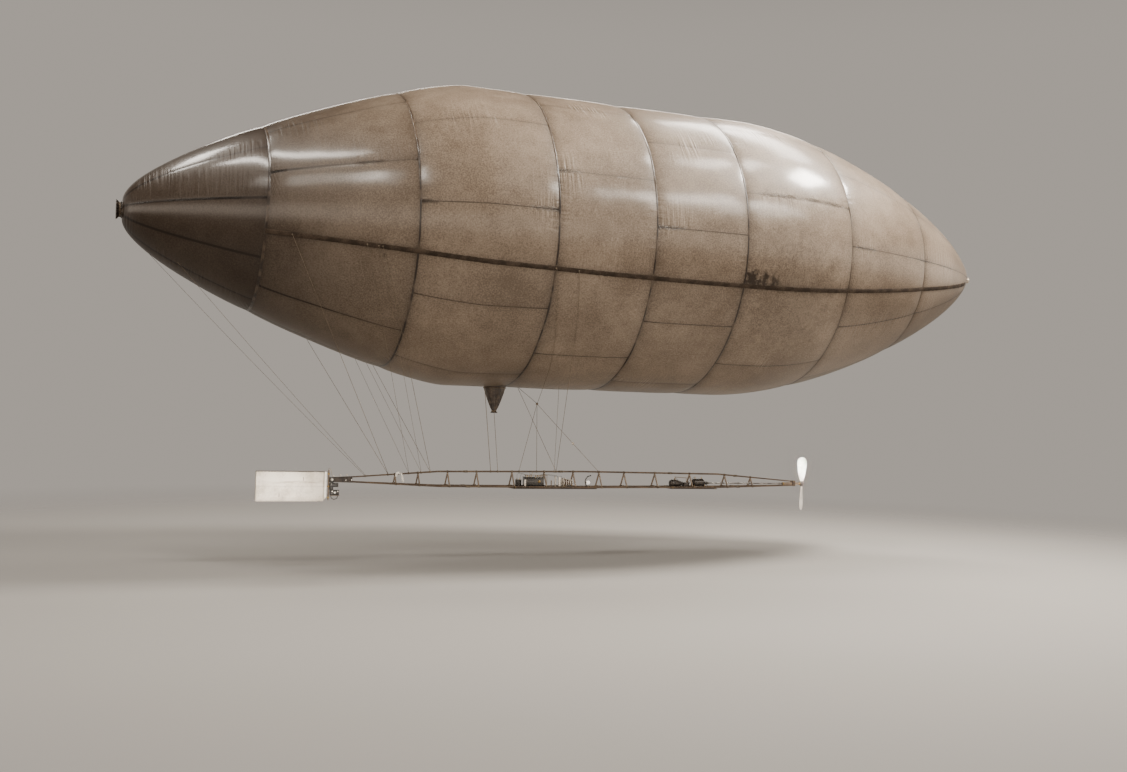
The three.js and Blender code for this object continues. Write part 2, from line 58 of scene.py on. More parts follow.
lens.clip_end = 200.0
camera = bpy.data.objects.new("camera", lens)
turn = Matrix((eye_right, eye_right.cross(eye_ahead), -eye_ahead)).transposed()
camera.matrix_world = Matrix.Translation(eye) @ turn.to_4x4()
bpy.context.scene.collection.objects.link(camera)
bpy.context.scene.camera = camera


# Studio
# A plain pale floor fades into a plain backdrop, pale beyond the gasbag and dark above and on the near side,
# where one bright row lies low for the varnish to mirror. Soft boxes light the gasbag from above, and a long
# one beyond it draws its upper edge.
class Wire:
    """A node's output. Arithmetic on it adds Math nodes to its tree, and add() makes any other node."""

    def __init__(self, tree, socket=None):
        self.tree = tree
        self.socket = socket

    def add(self, kind, settings=None, inputs=None, output=0):
        node = self.tree.nodes.new(kind)
        for name, value in (settings or {}).items():
            setattr(node, name, value)
        for key, value in (inputs or {}).items():
            if isinstance(value, Wire):
                self.tree.links.new(value.socket, node.inputs[key])
            else:
                node.inputs[key].default_value = value
        return Wire(self.tree, node.outputs[output] if len(node.outputs) else None)

    def math(self, operation, *values):
        return self.add("ShaderNodeMath", {"operation": operation}, dict(enumerate(values)))

    def __add__(self, other):
        return self.math("ADD", self, other)

    def __sub__(self, other):
        return self.math("SUBTRACT", self, other)

    def __rsub__(self, other):
        return self.math("SUBTRACT", other, self)

    def __mul__(self, other):
        return self.math("MULTIPLY", self, other)

    def __truediv__(self, other):
        return self.math("DIVIDE", self, other)

    def __abs__(self):
        return self.math("ABSOLUTE", self)

    __radd__ = __add__

    def sine(self):
        return self.math("SINE", self)

    def fade(self, reach):
        """1 at zero, falling away over a reach"""
        return self.math("EXPONENT", self * (-1.0 / reach))

    def between(self, low, high):
        """0 at low and 1 at high, smooth on the way"""
        settings = {"interpolation_type": "SMOOTHSTEP"}
        return self.add("ShaderNodeMapRange", settings, {0: self, 1: low, 2: high, 3: 0.0, 4: 1.0})

    def mix(self, first, second):
        """A colour between two, by this value"""
        return self.add("ShaderNodeMix", {"data_type": "RGBA"}, {0: self, 6: first, 7: second}, 2)

    def vector(self, operation, other, output=0):
        return self.add("ShaderNodeVectorMath", {"operation": operation}, {0: self, 1: other}, output)

    def part(self, number):
        """X, Y or Z of a vector, by its number"""
        return self.add("ShaderNodeSeparateXYZ", {}, {0: self}, number)


def new_surface(name):
    material = bpy.data.materials.new(name)
    material.use_nodes = True
    shader = material.node_tree.nodes["Principled BSDF"]
    return material, Wire(material.node_tree), shader


def here(wire):
    """The place on the piece"""
    return wire.add("ShaderNodeTexCoord", output=3)


def grains(wire, scale, detail=3.0, where=None):
    """Noise on the place on the piece, or on a vector"""
    where = here(wire) if where is None else where
    return wire.add("ShaderNodeTexNoise", {}, {"Vector": where, "Scale": scale, "Detail": detail})


def close_surface(wire, shader, colour, roughness, height=None, depth=0.001, **fixed):
    for name, value in (("Base Color", colour), ("Roughness", roughness)):
        if isinstance(value, Wire):
            wire.tree.links.new(value.socket, shader.inputs[name])
        else:
            shader.inputs[name].default_value = value
    if height is not None:
        bump = wire.add("ShaderNodeBump", {}, {"Strength": 1.0, "Distance": depth, "Height": height})
        wire.tree.links.new(bump.socket, shader.inputs["Normal"])
    for name, value in fixed.items():
        shader.inputs[name.replace("_", " ")].default_value = value


FLOOR_HEIGHT = -2.485
FLOOR_REACH = 60.0
FLOOR_FADE = (3.6, 10.5)
PALE = (0.315, 0.300, 0.280, 1)
floor_paint, wire, shader = new_surface("floor_paint")
close_surface(wire, shader, grains(wire, 0.6).mix(PALE, (0.335, 0.320, 0.300, 1)), 0.85)
away = here(wire).vector("LENGTH", (0, 0, 0), 1).between(*FLOOR_FADE)
clear = wire.add("ShaderNodeBsdfTransparent")
blended = wire.add("ShaderNodeMixShader", {}, {0: away, 1: Wire(wire.tree, shader.outputs[0]), 2: clear})
wire.tree.links.new(blended.socket, wire.tree.nodes["Material Output"].inputs["Surface"])
mesh = bpy.data.meshes.new("floor")
corners = [(x * FLOOR_REACH, y * FLOOR_REACH, FLOOR_HEIGHT) for x, y in ((-1, -1), (1, -1), (1, 1), (-1, 1))]
mesh.from_pydata(corners, [], [(0, 1, 2, 3)])
mesh.materials.append(floor_paint)
floor = bpy.data.objects.new("floor", mesh)
bpy.context.scene.collection.objects.link(floor)

world = bpy.data.worlds.new("backdrop")
world.use_nodes = True
wire = Wire(world.node_tree)
heading = wire.add("ShaderNodeTexCoord")
rise = heading.part(2)
beyond = heading.part(1)
DARK = (0.022, 0.017, 0.012, 1)
ROW_RISE = 0.10
bright_row = abs(rise - ROW_RISE).between(0.22, 0.03) * beyond.between(0.45, 0.15)
sides = beyond.between(-0.10, 0.25).mix((0.036, 0.028, 0.021, 1), (0.42, 0.382, 0.340, 1))
sternward = heading.part(0)
glow = sternward.between(-0.15, -0.50).mix((2.6, 2.25, 1.9, 1), (3.7, 3.18, 2.66, 1))
walls = bright_row.mix(sides, glow)
sky = rise.between(0.28, 0.58).mix(walls, DARK)
world.node_tree.links.new(sky.socket, world.node_tree.nodes["Background"].inputs["Color"])
bpy.context.scene.world = world

# Columns: x, y and z of the soft box, its width and length, its power, its beam in degrees and the point that
# it faces. The last two light the rudder and the propeller alone.
SOFT_BOXES = [
    (-4.7, -1.75, 5.0, 3.1, 0.45, 240, 180, (-2.5, -0.6, 0.4)),
    (-5.3, 1.9, 5.0, 1.7, 0.8, 145, 180, (-3.0, -0.3, 0.4)),
    (-4.8, -6.0, 5.0, 0.6, 1.3, 90, 180, (-2.0, -0.9, 0.2)),
    (-5.7, -6.2, 5.2, 3.4, 1.7, 130, 180, (-2.2, -0.8, 0.2)),
    (4.2, -7.0, 5.0, 2.4, 1.0, 300, 180, (0.4, -1.1, 0.2)),
    (5.3, -2.1, 5.0, 1.7, 1.0, 1300, 180, (1.3, -1.0, 0.5)),
    (3.0, -2.2, 5.0, 1.0, 0.6, 100, 180, (0.6, -1.0, 0.6)),
    (3.8, 1.0, 5.0, 3.2, 1.2, 400, 180, (0.9, -0.8, 0.8)),
    (1.5, 6.5, 3.4, 9.0, 0.8, 230, 180, (0.0, 0.0, 0.9)),
    (5.2, -6.5, 4.2, 2.4, 1.2, 190, 180, (0.6, 0.0, 0.3)),
    (-1.5, -7.8, -2.0, 0.45, 0.15, 1.4, 5, (-2.47, 0.0, -1.9)),
    (-1.5, -7.8, -2.0, 0.20, 0.15, 1.1, 2, (1.94, 0.0, -1.72)),
]
for number, (x, y, z, width, length, power, beam, target) in enumerate(SOFT_BOXES):
    lamp = bpy.data.lights.new(f"soft_box_{number + 1}", "AREA")
    lamp.shape = "RECTANGLE"
    lamp.size = width
    lamp.size_y = length
    lamp.energy = power
    lamp.spread = math.radians(beam)
    lamp.color = (1.0, 0.93, 0.84)
    box = bpy.data.objects.new(lamp.name, lamp)
    toward = Vector(target) - Vector((x, y, z))
    box.matrix_world = Matrix.Translation((x, y, z)) @ toward.to_track_quat("-Z", "Y").to_matrix().to_4x4()
    bpy.context.scene.collection.objects.link(box)

# Gasbag
# The envelope is sewn from eight rings of varnished cloth, ten gores to a ring. All but the bow cap are
# turned about half a gore against the last. Gas pressure holds it taut, and its seams draw in a little.
HALF_LENGTH = 3.6
STERN_CURVE = [(1.252, 1.124), (1.624, 1.124), (3.600, 0.406), (3.600, 0.066)]
BOW_CURVE = [(1.010, 1.124), (1.840, 1.124), (3.274, 0.520), (3.600, 0.024)]
RING_SEAMS = [-2.712, -1.763, -0.809, -0.060, 0.683, 1.655, 2.595]
# How far each ring seam leans aft at its foot and forward at its head
SEAM_LEANS = [0.024, 0.0, 0.0, 0.0, 0.0, 0.0, 0.0]
GORES = 10
GORE = 2 * math.pi / GORES
RING_STEP = 0.015
STEPS_AROUND = 401
NO_SEAM = 9.0
# Columns: piece, its CAD node, angle of one lengthwise seam above the starboard beam, tone
RINGS = [
    ("cloth_stern_cap", "gasbag_stern_cap", 6.0, 0.42),
    ("cloth_ring_1", "gasbag_section_1", 21.6, 0.70),
    ("cloth_ring_2", "gasbag_section_2", 4.5, 0.90),
    ("cloth_ring_3", "gasbag_section_3", 19.5, 0.92),
    ("cloth_ring_4", "gasbag_section_4", 1.7, 0.88),
    ("cloth_ring_5", "gasbag_section_5", 18.6, 0.93),
    ("cloth_ring_6", "gasbag_section_6", 2.0, 0.87),
    ("cloth_bow_cap", "gasbag_bow_cap", 2.0, 0.80),
]
# Load bands: the sine of their angle above the beam is this polynomial of the station, lowest power first
BAND_SINES = (-0.2942, -0.0122, 0.00841, 0.00042, -0.00051)
# Dark spots in the varnish, and in the last row a broad patch of painted shade on the lower flank. Columns:
# the place, its reach and its strength
BLOTS_AND_SHADE = [
    ((0.745, -1.089, -0.268), 0.080, 1.3),
    ((0.835, -1.088, -0.274), 0.070, 1.1),
    ((0.925, -1.087, -0.280), 0.060, 0.9),
    ((-1.972, -0.898, -0.288), 0.022, 0.9),
    ((-1.764, -0.846, -0.551), 0.020, 0.8),
    ((-0.62, -1.02, -0.42), 0.018, 0.4),
    ((1.90, -0.93, -0.12), 0.020, 0.4),
    # Painted shade: this broad patch darkens the lower starboard flank forward of amidships.
    ((1.15, -1.05, -0.40), 0.620, 0.42),
]


def outline(curve):
    t = np.linspace(0.0, 1.0, 2001)[:, None]
    p = np.array(curve)
    return (1 - t) ** 3 * p[0] + 3 * (1 - t) ** 2 * t * p[1] + 3 * (1 - t) * t * t * p[2] + t**3 * p[3]


STERN_OUTLINE = outline(STERN_CURVE)
BOW_OUTLINE = outline(BOW_CURVE)


def bag_radius(x):
    x = np.asarray(x, float)
    stern = np.interp(-x, STERN_OUTLINE[:, 0], STERN_OUTLINE[:, 1])
    bow = np.interp(x, BOW_OUTLINE[:, 0], BOW_OUTLINE[:, 1])
    return np.where(x < 0, stern, bow)


def geometry_tree(name, inputs):
    """An empty geometry tree with named inputs. Gives a wire in it, a wire of each input and their keys."""
    tree = bpy.data.node_groups.new(name, "GeometryNodeTree")
    keys = {}
    for label, kind in inputs.items():
        keys[label] = tree.interface.new_socket(label, in_out="INPUT", socket_type=kind).identifier
    tree.interface.new_socket("Geometry", in_out="OUTPUT", socket_type="NodeSocketGeometry")
    group = tree.nodes.new("NodeGroupInput")
    wires = {label: Wire(tree, group.outputs[label]) for label in inputs}
    return Wire(tree), wires, keys


def close_tree(result):
    out = result.tree.nodes.new("NodeGroupOutput")
    result.tree.links.new(result.socket, out.inputs[0])


def grown(name, source, tree, keys, values):
    """The plain mesh that a geometry tree makes of a source mesh"""
    seed = bpy.data.objects.new(name, source)
    bpy.context.scene.collection.objects.link(seed)
    nodes = seed.modifiers.new("nodes", "NODES")
    nodes.node_group = tree
    for label, value in values.items():
        nodes[keys[label]] = value
    bpy.context.view_layer.update()
    graph = bpy.context.evaluated_depsgraph_get()
    mesh = bpy.data.meshes.new_from_object(seed.evaluated_get(graph))
    mesh.name = name
    seed.modifiers.remove(nodes)
    seed.data = mesh
    return seed


def hand_over(piece, nodes=(), body="airship"):
    """A finished piece gets its body, and stands for CAD nodes"""
    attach(piece, body)
    if nodes:
        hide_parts(*nodes)
    return piece


def band_sine(x):
    """The sine of the load bands' angle at a station, a number or a wire"""
    result = BAND_SINES[-1]
    for factor in BAND_SINES[-2::-1]:
        result = x * result + factor
    return result


def reading(wire, name):
    """A number stored on the cloth"""
    return wire.add("ShaderNodeAttribute", {"attribute_name": name}, output=2)


bag_varnish, wire, shader = new_surface("bag_varnish")
to_ring = reading(wire, "ring")
to_gore = reading(wire, "gore")
panel = reading(wire, "panel")
girth = reading(wire, "girth")
along = reading(wire, "along")
place = here(wire)
station = place.part(0)
height = place.part(2)
radius = place.vector("MULTIPLY", (0, 1, 1)).vector("LENGTH", (0, 0, 0), 1)
fine = grains(wire, 105.0, 4.0)
blotch = grains(wire, 9.0, 5.0)
cloud = grains(wire, 1.5, 2.0)
shade = fine * 0.58 + blotch * 0.20 + cloud * 0.38
cloth = shade.between(0.38, 0.80).mix((0.118, 0.086, 0.060, 1), (0.285, 0.226, 0.172, 1))
# Painted shade: the cloth's colour darkens toward the stern, standing in for shade on the stern turned from
# the light. The same factor widens and darkens the seams there and raises the coat.
stern_shade_and_gloss = station.between(-1.75, -2.75)
toned = (panel * (1 - stern_shade_and_gloss * 0.58)).mix((0.0070, 0.0024, 0.0008, 1), cloth)
seam_side = (to_gore / (1 + stern_shade_and_gloss * 1.4)).between(0.0015, 0.0055)
seam_line = (1 - seam_side) * (blotch * 0.8 + 0.12 + stern_shade_and_gloss * 0.3)
# Painted highlight: the seam lines are painted fainter toward the top, as if washed out by the light there.
seam_line = seam_line * (1 - height.between(0.10, 0.45) * 0.60)
seam_stain = to_gore.fade(0.018) * 0.20
# Painted shade: the cloth is darkened beside each ring seam, where it is drawn in, along with some stain.
ring_shade_and_stain = to_ring.fade(0.035) * 0.45
off_band = abs(height / radius - band_sine(station)) * radius
frayed = off_band + (grains(wire, 38.0, 3.0) - 0.5) * 0.022
on_rings = station.between(-2.715, -2.705)
band_stain = frayed.math("MAXIMUM", frayed, 0.0).fade(0.016) * on_rings * 0.75
# The darkening sums seam lines and stains with the painted shade beside the ring seams and on the lower
# flank.
dirt_and_shade = seam_line + seam_stain + ring_shade_and_stain + band_stain
for centre, reach, strength in BLOTS_AND_SHADE:
    gap = place.vector("DISTANCE", centre, 1) + (grains(wire, 30.0, 3.0) - 0.5) * reach * 1.6
    dirt_and_shade = dirt_and_shade + (1 - gap.between(reach * 0.2, reach)) * strength * 0.6
bag_colour = dirt_and_shade.math("MINIMUM", dirt_and_shade, 0.90).mix(toned, (0.010, 0.0055, 0.003, 1))
ring_way = wire.add("ShaderNodeCombineXYZ", {}, {0: girth * 34.0, 1: along * 6.0, 2: station * 0.3})
gore_way = wire.add("ShaderNodeCombineXYZ", {}, {0: along * 46.0, 1: girth * 3.5, 2: station * 0.3})
patchy = grains(wire, 3.0, 1.0).between(0.46, 0.60)
polish = (height / radius).between(-0.80, -0.15) * 0.75 + 0.25
ring_folds = grains(wire, 1.0, 1.0, ring_way).between(0.34, 0.66) * to_ring.fade(0.055)
gore_folds = grains(wire, 1.0, 1.0, gore_way).between(0.34, 0.66) * (to_gore.fade(0.09) * 1.2 + 0.06)
relief = (ring_folds * 0.9 + gore_folds * 0.9) * patchy + fine * 0.09 + blotch * 0.45
close_surface(
    wire, shader, bag_colour, fine * 0.22 + blotch * 0.22 + 0.24, relief, 0.0030,
    Coat_Roughness=0.17, Specular_IOR_Level=0.20,
)
wire.tree.links.new(((stern_shade_and_gloss * 0.18 + 0.38) * polish).socket, shader.inputs["Coat Weight"])

root, given, ring_keys = geometry_tree("gore_ring", {
    "Geometry": "NodeSocketGeometry",
    "Rows": "NodeSocketInt",
    "Around": "NodeSocketInt",
    "First Seam": "NodeSocketFloat",
    "Ring Draw": "NodeSocketFloat",
    "Gore Draw": "NodeSocketFloat",
    "Sway": "NodeSocketFloat",
    "Wander": "NodeSocketFloat",
    "Tone": "NodeSocketFloat",
    "Seed": "NodeSocketInt",
    "Material": "NodeSocketMaterial",
})
ring_tree = root.tree
sheet = root.add("GeometryNodeMeshGrid", {}, {0: 1.0, 1: 1.0, 2: given["Rows"], 3: given["Around"]})
spot = root.add("GeometryNodeInputPosition")
row = (spot.part(0) + 0.5) * (given["Rows"] - 1.0)
row = row.math("ROUND", row)
share = spot.part(1) + 0.5


def from_outline(label):
    """A named number of the outline, at this vertex's row"""
    number = root.add("GeometryNodeInputNamedAttribute", {"data_type": "FLOAT"}, {0: label})
    settings = {"data_type": "FLOAT", "domain": "POINT"}
    return root.add("GeometryNodeSampleIndex", settings, {0: given["Geometry"], 1: number, 2: row})


station = from_outline("station")
radius = from_outline("radius")
to_ring = from_outline("ring")
along = from_outline("along")
angle = share * (2 * math.pi) + given["First Seam"]
way_y = angle.math("COSINE", angle) * -1.0
way_z = angle.sine()
phase = share * float(GORES)
nearest = phase.math("ROUND", phase)
to_gore = abs(phase - nearest) * GORE * radius
number = phase.math("FLOOR", phase)
draw = {2: 0.93, 3: 1.05, 7: number, 8: given["Seed"]}
chance = root.add("FunctionNodeRandomValue", {"data_type": "FLOAT"}, draw, 1)
spot = root.add("ShaderNodeCombineXYZ", {}, {0: station, 1: way_y * radius, 2: way_z * radius})
waver = grains(root, 2.3, 2.0, spot) - 0.5
shift = from_outline("lean") * way_z + waver * given["Wander"] * to_ring.fade(0.20)
sway = grains(root, 1.9, 2.0, spot) - 0.5
drawn = to_ring.fade(0.06) * given["Ring Draw"] + to_gore.fade(0.045) * given["Gore Draw"]
reach = radius + from_outline("slope") * shift - drawn + sway * given["Sway"] * (1 - to_ring.fade(0.05))
spot = root.add("ShaderNodeCombineXYZ", {}, {0: station + shift, 1: way_y * reach, 2: way_z * reach})
stored = [
    ("ring", to_ring, "POINT"), ("gore", to_gore, "POINT"), ("along", along, "POINT"),
    ("girth", angle * radius, "POINT"), ("panel", chance * given["Tone"], "FACE"),
]
for label, value, domain in stored:
    settings = {"data_type": "FLOAT", "domain": domain}
    values = {"Geometry": sheet, "Name": label, "Value": value}
    sheet = root.add("GeometryNodeStoreNamedAttribute", settings, values)
sheet = root.add("GeometryNodeSetPosition", {}, {0: sheet, 2: spot})
sheet = root.add("GeometryNodeMergeByDistance", {}, {0: sheet, "Distance": 0.0002})
sheet = root.add("GeometryNodeSetShadeSmooth", {}, {0: sheet})
sheet = root.add("GeometryNodeSetMaterial", {}, {0: sheet, "Material": given["Material"]})
close_tree(sheet)

ring_ends = [-HALF_LENGTH, *RING_SEAMS, HALF_LENGTH]
end_leans = [0.0, *SEAM_LEANS, 0.0]
cloth_points = []
cloth_faces = []
for number, (name, node, seam, tone) in enumerate(RINGS):
    aft, fore = ring_ends[number], ring_ends[number + 1]
    steps = max(24, round((fore - aft) / RING_STEP))
    share = np.linspace(0.0, 1.0, steps + 1)
    share = share - 0.10 * np.sin(2 * math.pi * share)
    if number == 0:
        share = 1 - np.sin((1 - share) * math.pi / 2)
    if number == len(RINGS) - 1:
        share = np.sin(share * math.pi / 2)
    stations = aft + (fore - aft) * share
    radii = bag_radius(stations)
    lengths = np.concatenate([[0.0], np.cumsum(np.hypot(np.diff(stations), np.diff(radii)))])
    far = np.full(steps + 1, NO_SEAM)
    if number > 0:
        far = np.minimum(far, lengths)
    if number < len(RINGS) - 1:
        far = np.minimum(far, lengths[-1] - lengths)
    columns = {
        "station": stations,
        "radius": radii,
        "ring": far,
        "along": lengths,
        "lean": end_leans[number] * (1 - share) ** 2 + end_leans[number + 1] * share**2,
        "slope": np.gradient(radii, stations) * (share * (1 - share) > 0),
    }
    if number > 0:
        columns["slope"][0] = np.gradient(radii, stations)[0]
    if number < len(RINGS) - 1:
        columns["slope"][-1] = np.gradient(radii, stations)[-1]
    if number == 0:
        columns = {label: np.concatenate([values[:1], values]) for label, values in columns.items()}
        columns["radius"][0] = 0.0
    if number == len(RINGS) - 1:
        columns = {label: np.concatenate([values, values[-1:]]) for label, values in columns.items()}
        columns["radius"][-1] = 0.0
    profile = bpy.data.meshes.new(name)
    profile.from_pydata([(x, 0, r) for x, r in zip(columns["station"], columns["radius"])], [], [])
    for label, values in columns.items():
        profile.attributes.new(label, "FLOAT", "POINT").data.foreach_set("value", values.astype(np.float32))
    piece = grown(name, profile, ring_tree, ring_keys, {
        "Rows": len(columns["station"]),
        "Around": STEPS_AROUND,
        "First Seam": math.radians(seam),
        "Ring Draw": 0.009,
        "Gore Draw": 0.003,
        "Sway": 0.009,
        "Wander": 0.016,
        "Tone": tone,
        "Seed": number,
        "Material": bag_varnish,
    })
    start = len(cloth_points)
    cloth_points += [v.co.copy() for v in piece.data.vertices]
    cloth_faces += [[start + i for i in face.vertices] for face in piece.data.polygons]
    hand_over(piece, [node])

# Ring seams
# Where two rings meet, the lap is covered with a narrow cloth tape, doped dark, that stands up in a low ridge
# and shines where it is rubbed.
SEAM_WIDTHS = [0.018, 0.013, 0.014, 0.013, 0.013, 0.008, 0.005]
SEAM_RISE = 0.0030
SEAM_STEPS = 400
SHARP_EDGE = math.radians(40)
cloth_skin = BVHTree.FromPolygons(cloth_points, cloth_faces)


def on_cloth(x, angle, side=-1, lift=0.0):
    """A point off the cloth as it lies. The angle is above the beam; side is -1 to starboard, 1 to port."""
    out = Vector((0, side * math.cos(angle), math.sin(angle)))
    spot = cloth_skin.ray_cast(Vector((x, 0, 0)) + out * 2.0, -out)[0]
    if spot is None:
        spot = cloth_skin.find_nearest(Vector((x, 0, 0)) + out * float(bag_radius(x)))[0]
    return spot + out * lift


def skin(rings, ring_shaped=False):
    """A closed shape over rings of points: its last ring meets the first, or each end is capped"""
    sides = len(rings[0])
    count = len(rings)
    points = [p for ring in rings for p in ring]
    faces = []
    for i in range(count if ring_shaped else count - 1):
        for k in range(sides):
            a, b = i * sides + k, i * sides + (k + 1) % sides
            c, d = (i + 1) % count * sides + (k + 1) % sides, (i + 1) % count * sides + k
            faces.append((a, b, c, d))
    if not ring_shaped:
        faces.append(tuple(reversed(range(sides))))
        faces.append(tuple(range((count - 1) * sides, count * sides)))
    return points, faces


def made(name, shapes, material, slot, *nodes, body="airship"):
    """One piece from closed shapes, each of points and faces, that stands for CAD nodes"""
    form = bmesh.new()
    for points, faces in shapes:
        corners = [form.verts.new(p) for p in points]
        for face in faces:
            form.faces.new([corners[i] for i in face])
    bmesh.ops.remove_doubles(form, verts=form.verts, dist=2e-6)
    bmesh.ops.recalc_face_normals(form, faces=form.faces)
    mesh = bpy.data.meshes.new(name)
    form.to_mesh(mesh)
    form.free()
    mesh.shade_smooth()
    mesh.set_sharp_from_angle(angle=SHARP_EDGE)
    mesh.materials.append(material)
    piece = bpy.data.objects.new(name, mesh)
    bpy.context.scene.collection.objects.link(piece)
    return hand_over(piece, nodes, body)


seam_tape, wire, shader = new_surface("seam_tape")
rubbed = grains(wire, 11.0, 4.0).between(0.46, 0.66) * 0.6
station = here(wire).part(0)
height = here(wire).part(2)
# Painted highlight: the tape is painted lighter toward the top, as if lit there. It is also paler toward the
# bow.
paler_bow_and_lit_top = station.between(0.9, 2.4) * 0.85 + height.between(0.30, 0.70) * 0.45
colour = (rubbed + paler_bow_and_lit_top).mix((0.016, 0.009, 0.005, 1), (0.105, 0.074, 0.050, 1))
close_surface(
    wire, shader, colour, grains(wire, 50.0) * 0.3 + 0.30, grains(wire, 90.0, 3.0), 0.0016,
    Coat_Weight=0.35, Coat_Roughness=0.14, Specular_IOR_Level=0.35,
)
tapes = []
for x, lean, width in zip(RING_SEAMS, SEAM_LEANS, SEAM_WIDTHS):
    rings = []
    for step in range(SEAM_STEPS):
        angle = 2 * math.pi * step / SEAM_STEPS
        out = Vector((0, -math.cos(angle), math.sin(angle)))
        middle = Vector((x, 0, 0)) + out * float(bag_radius(x))
        waver = noise.fractal(middle * 2.3, 1.0, 2.0, 2) * 0.005
        centre = x + lean * math.sin(angle) + waver
        ring = []
        for k in range(7):
            bow = math.pi * k / 6
            foot = on_cloth(centre + width / 2 * math.cos(bow), angle, -1, -0.0006)
            ring.append(foot + out * SEAM_RISE * math.sin(bow))
        rings.append(ring)
    tapes.append(skin(rings, ring_shaped=True))
made("ring_seam_tapes", tapes, seam_tape, "tape")

# Load bands
# A broad tape of doubled cloth is stuck and stitched along each flank, a little under the beam. It spreads
# the stays' pull into the gasbag, and its frayed edges have gone dark.
BAND_WIDTH = 0.032
BAND_THICK = 0.0032
BAND_BOW_END = 3.42
BAND_STEP = 0.012
STITCH_STEP = 0.036


def band_angle(x):
    return math.asin(band_sine(x))


def axis_frame(path):
    """The way along a path at each point, and two ways square to it that don't twist"""
    ways = []
    u = None
    for i in range(len(path)):
        along = (path[min(i + 1, len(path) - 1)] - path[max(i - 1, 0)]).normalized()
        if u is None:
            u = along.orthogonal()
        u = (u - along * u.dot(along)).normalized()
        ways.append((along, u, along.cross(u)))
    return ways


def round_bar(path, radius, sides=10):
    """A round bar through points"""
    path = [Vector(p) for p in path]
    turns = [2 * math.pi * (k + 0.5) / sides for k in range(sides)]
    rings = []
    for p, (_, u, v) in zip(path, axis_frame(path)):
        rings.append([p + u * radius * math.cos(t) + v * radius * math.sin(t) for t in turns])
    return skin(rings)


root, given, set_keys = geometry_tree("set_out", {
    "Geometry": "NodeSocketGeometry",
    "Part": "NodeSocketObject",
    "Material": "NodeSocketMaterial",
})
set_tree = root.tree
part = root.add("GeometryNodeObjectInfo", {}, {"Object": given["Part"]}, "Geometry")
out_way = root.add("GeometryNodeInputNamedAttribute", {"data_type": "FLOAT_VECTOR"}, {0: "out"})
run_way = root.add("GeometryNodeInputNamedAttribute", {"data_type": "FLOAT_VECTOR"}, {0: "run"})
size = root.add("GeometryNodeInputNamedAttribute", {"data_type": "FLOAT"}, {0: "size"})
facing = root.add("FunctionNodeAlignRotationToVector", {"axis": "Z"}, {"Vector": out_way})
settings = {"axis": "X", "pivot_axis": "Z"}
facing = root.add("FunctionNodeAlignRotationToVector", settings, {"Rotation": facing, "Vector": run_way})
copies = root.add("GeometryNodeInstanceOnPoints", {}, {
    "Points": given["Geometry"],
    "Instance": part,
    "Rotation": facing,
    "Scale": size,
})
copies = root.add("GeometryNodeRealizeInstances", {}, {0: copies})
close_tree(root.add("GeometryNodeSetMaterial", {}, {0: copies, "Material": given["Material"]}))


def set_out(name, shape, spots, material, body="airship"):
    """Copies of a small shape. Each spot is a place, the ways that its Z and its X point, and its size."""
    pattern = bpy.data.meshes.new(name + "_pattern")
    pattern.from_pydata([tuple(p) for p in shape[0]], [], shape[1])
    pattern.shade_smooth()
    pattern.set_sharp_from_angle(angle=SHARP_EDGE)
    one = bpy.data.objects.new(name + "_pattern", pattern)
    marks = bpy.data.meshes.new(name)
    marks.from_pydata([tuple(spot[0]) for spot in spots], [], [])
    for column, label in ((1, "out"), (2, "run")):
        numbers = np.array([tuple(spot[column]) for spot in spots], np.float32).ravel()
        marks.attributes.new(label, "FLOAT_VECTOR", "POINT").data.foreach_set("vector", numbers)
    sizes = np.array([spot[3] for spot in spots], np.float32)
    marks.attributes.new("size", "FLOAT", "POINT").data.foreach_set("value", sizes)
    piece = grown(name, marks, set_tree, set_keys, {"Part": one, "Material": material})
    bpy.data.objects.remove(one)
    return hand_over(piece, body=body)


band_cloth, wire, shader = new_surface("band_cloth")
threads = grains(wire, 1.0, 1.0, here(wire).vector("MULTIPLY", (900.0, 900.0, 900.0)))
worn = (grains(wire, 14.0, 4.0) * 0.7 + grains(wire, 120.0, 2.0) * 0.35).between(0.42, 0.70)
colour = worn.mix((0.020, 0.013, 0.008, 1), (0.056, 0.039, 0.027, 1))
close_surface(
    wire, shader, colour, 0.80, threads * 0.4 + worn * 0.6, 0.0010, Specular_IOR_Level=0.2,
)
band_ends = (RING_SEAMS[0] - 0.012, BAND_BOW_END)
band_stations = np.linspace(*band_ends, round((band_ends[1] - band_ends[0]) / BAND_STEP))
stitches = []
for hand, side in (("starboard", -1), ("port", 1)):
    rings = []
    for x in band_stations:
        middle = Vector((x, side, 0))
        angle = band_angle(x)
        ring = []
        for place, rise in ((-1, 0.25), (-0.8, 0.8), (-0.3, 1), (0.3, 1), (0.8, 0.8), (1, 0.25), (0, -0.6)):
            fray = 1 + 0.22 * noise.noise(middle * 31.0 + Vector((0, place, 0)))
            across = place * fray * BAND_WIDTH / 2 / float(bag_radius(x))
            ring.append(on_cloth(x, angle + across, side, rise * BAND_THICK))
        rings.append(ring)
    made(f"load_band_cloth_{hand}", [skin(rings)], band_cloth, "tape", f"load_band_{hand}")
    for x in np.arange(band_ends[0] + 0.03, band_ends[1] - 0.03, STITCH_STEP):
        angle = band_angle(x)
        out = Vector((0, side * math.cos(angle), math.sin(angle)))
        up = Vector((0, -side * math.sin(angle), math.cos(angle)))
        slant = (up + Vector((0.5, 0, 0))).normalized()
        stitches.append((on_cloth(x, angle, side, BAND_THICK + 0.0002), out, slant, 1.0))

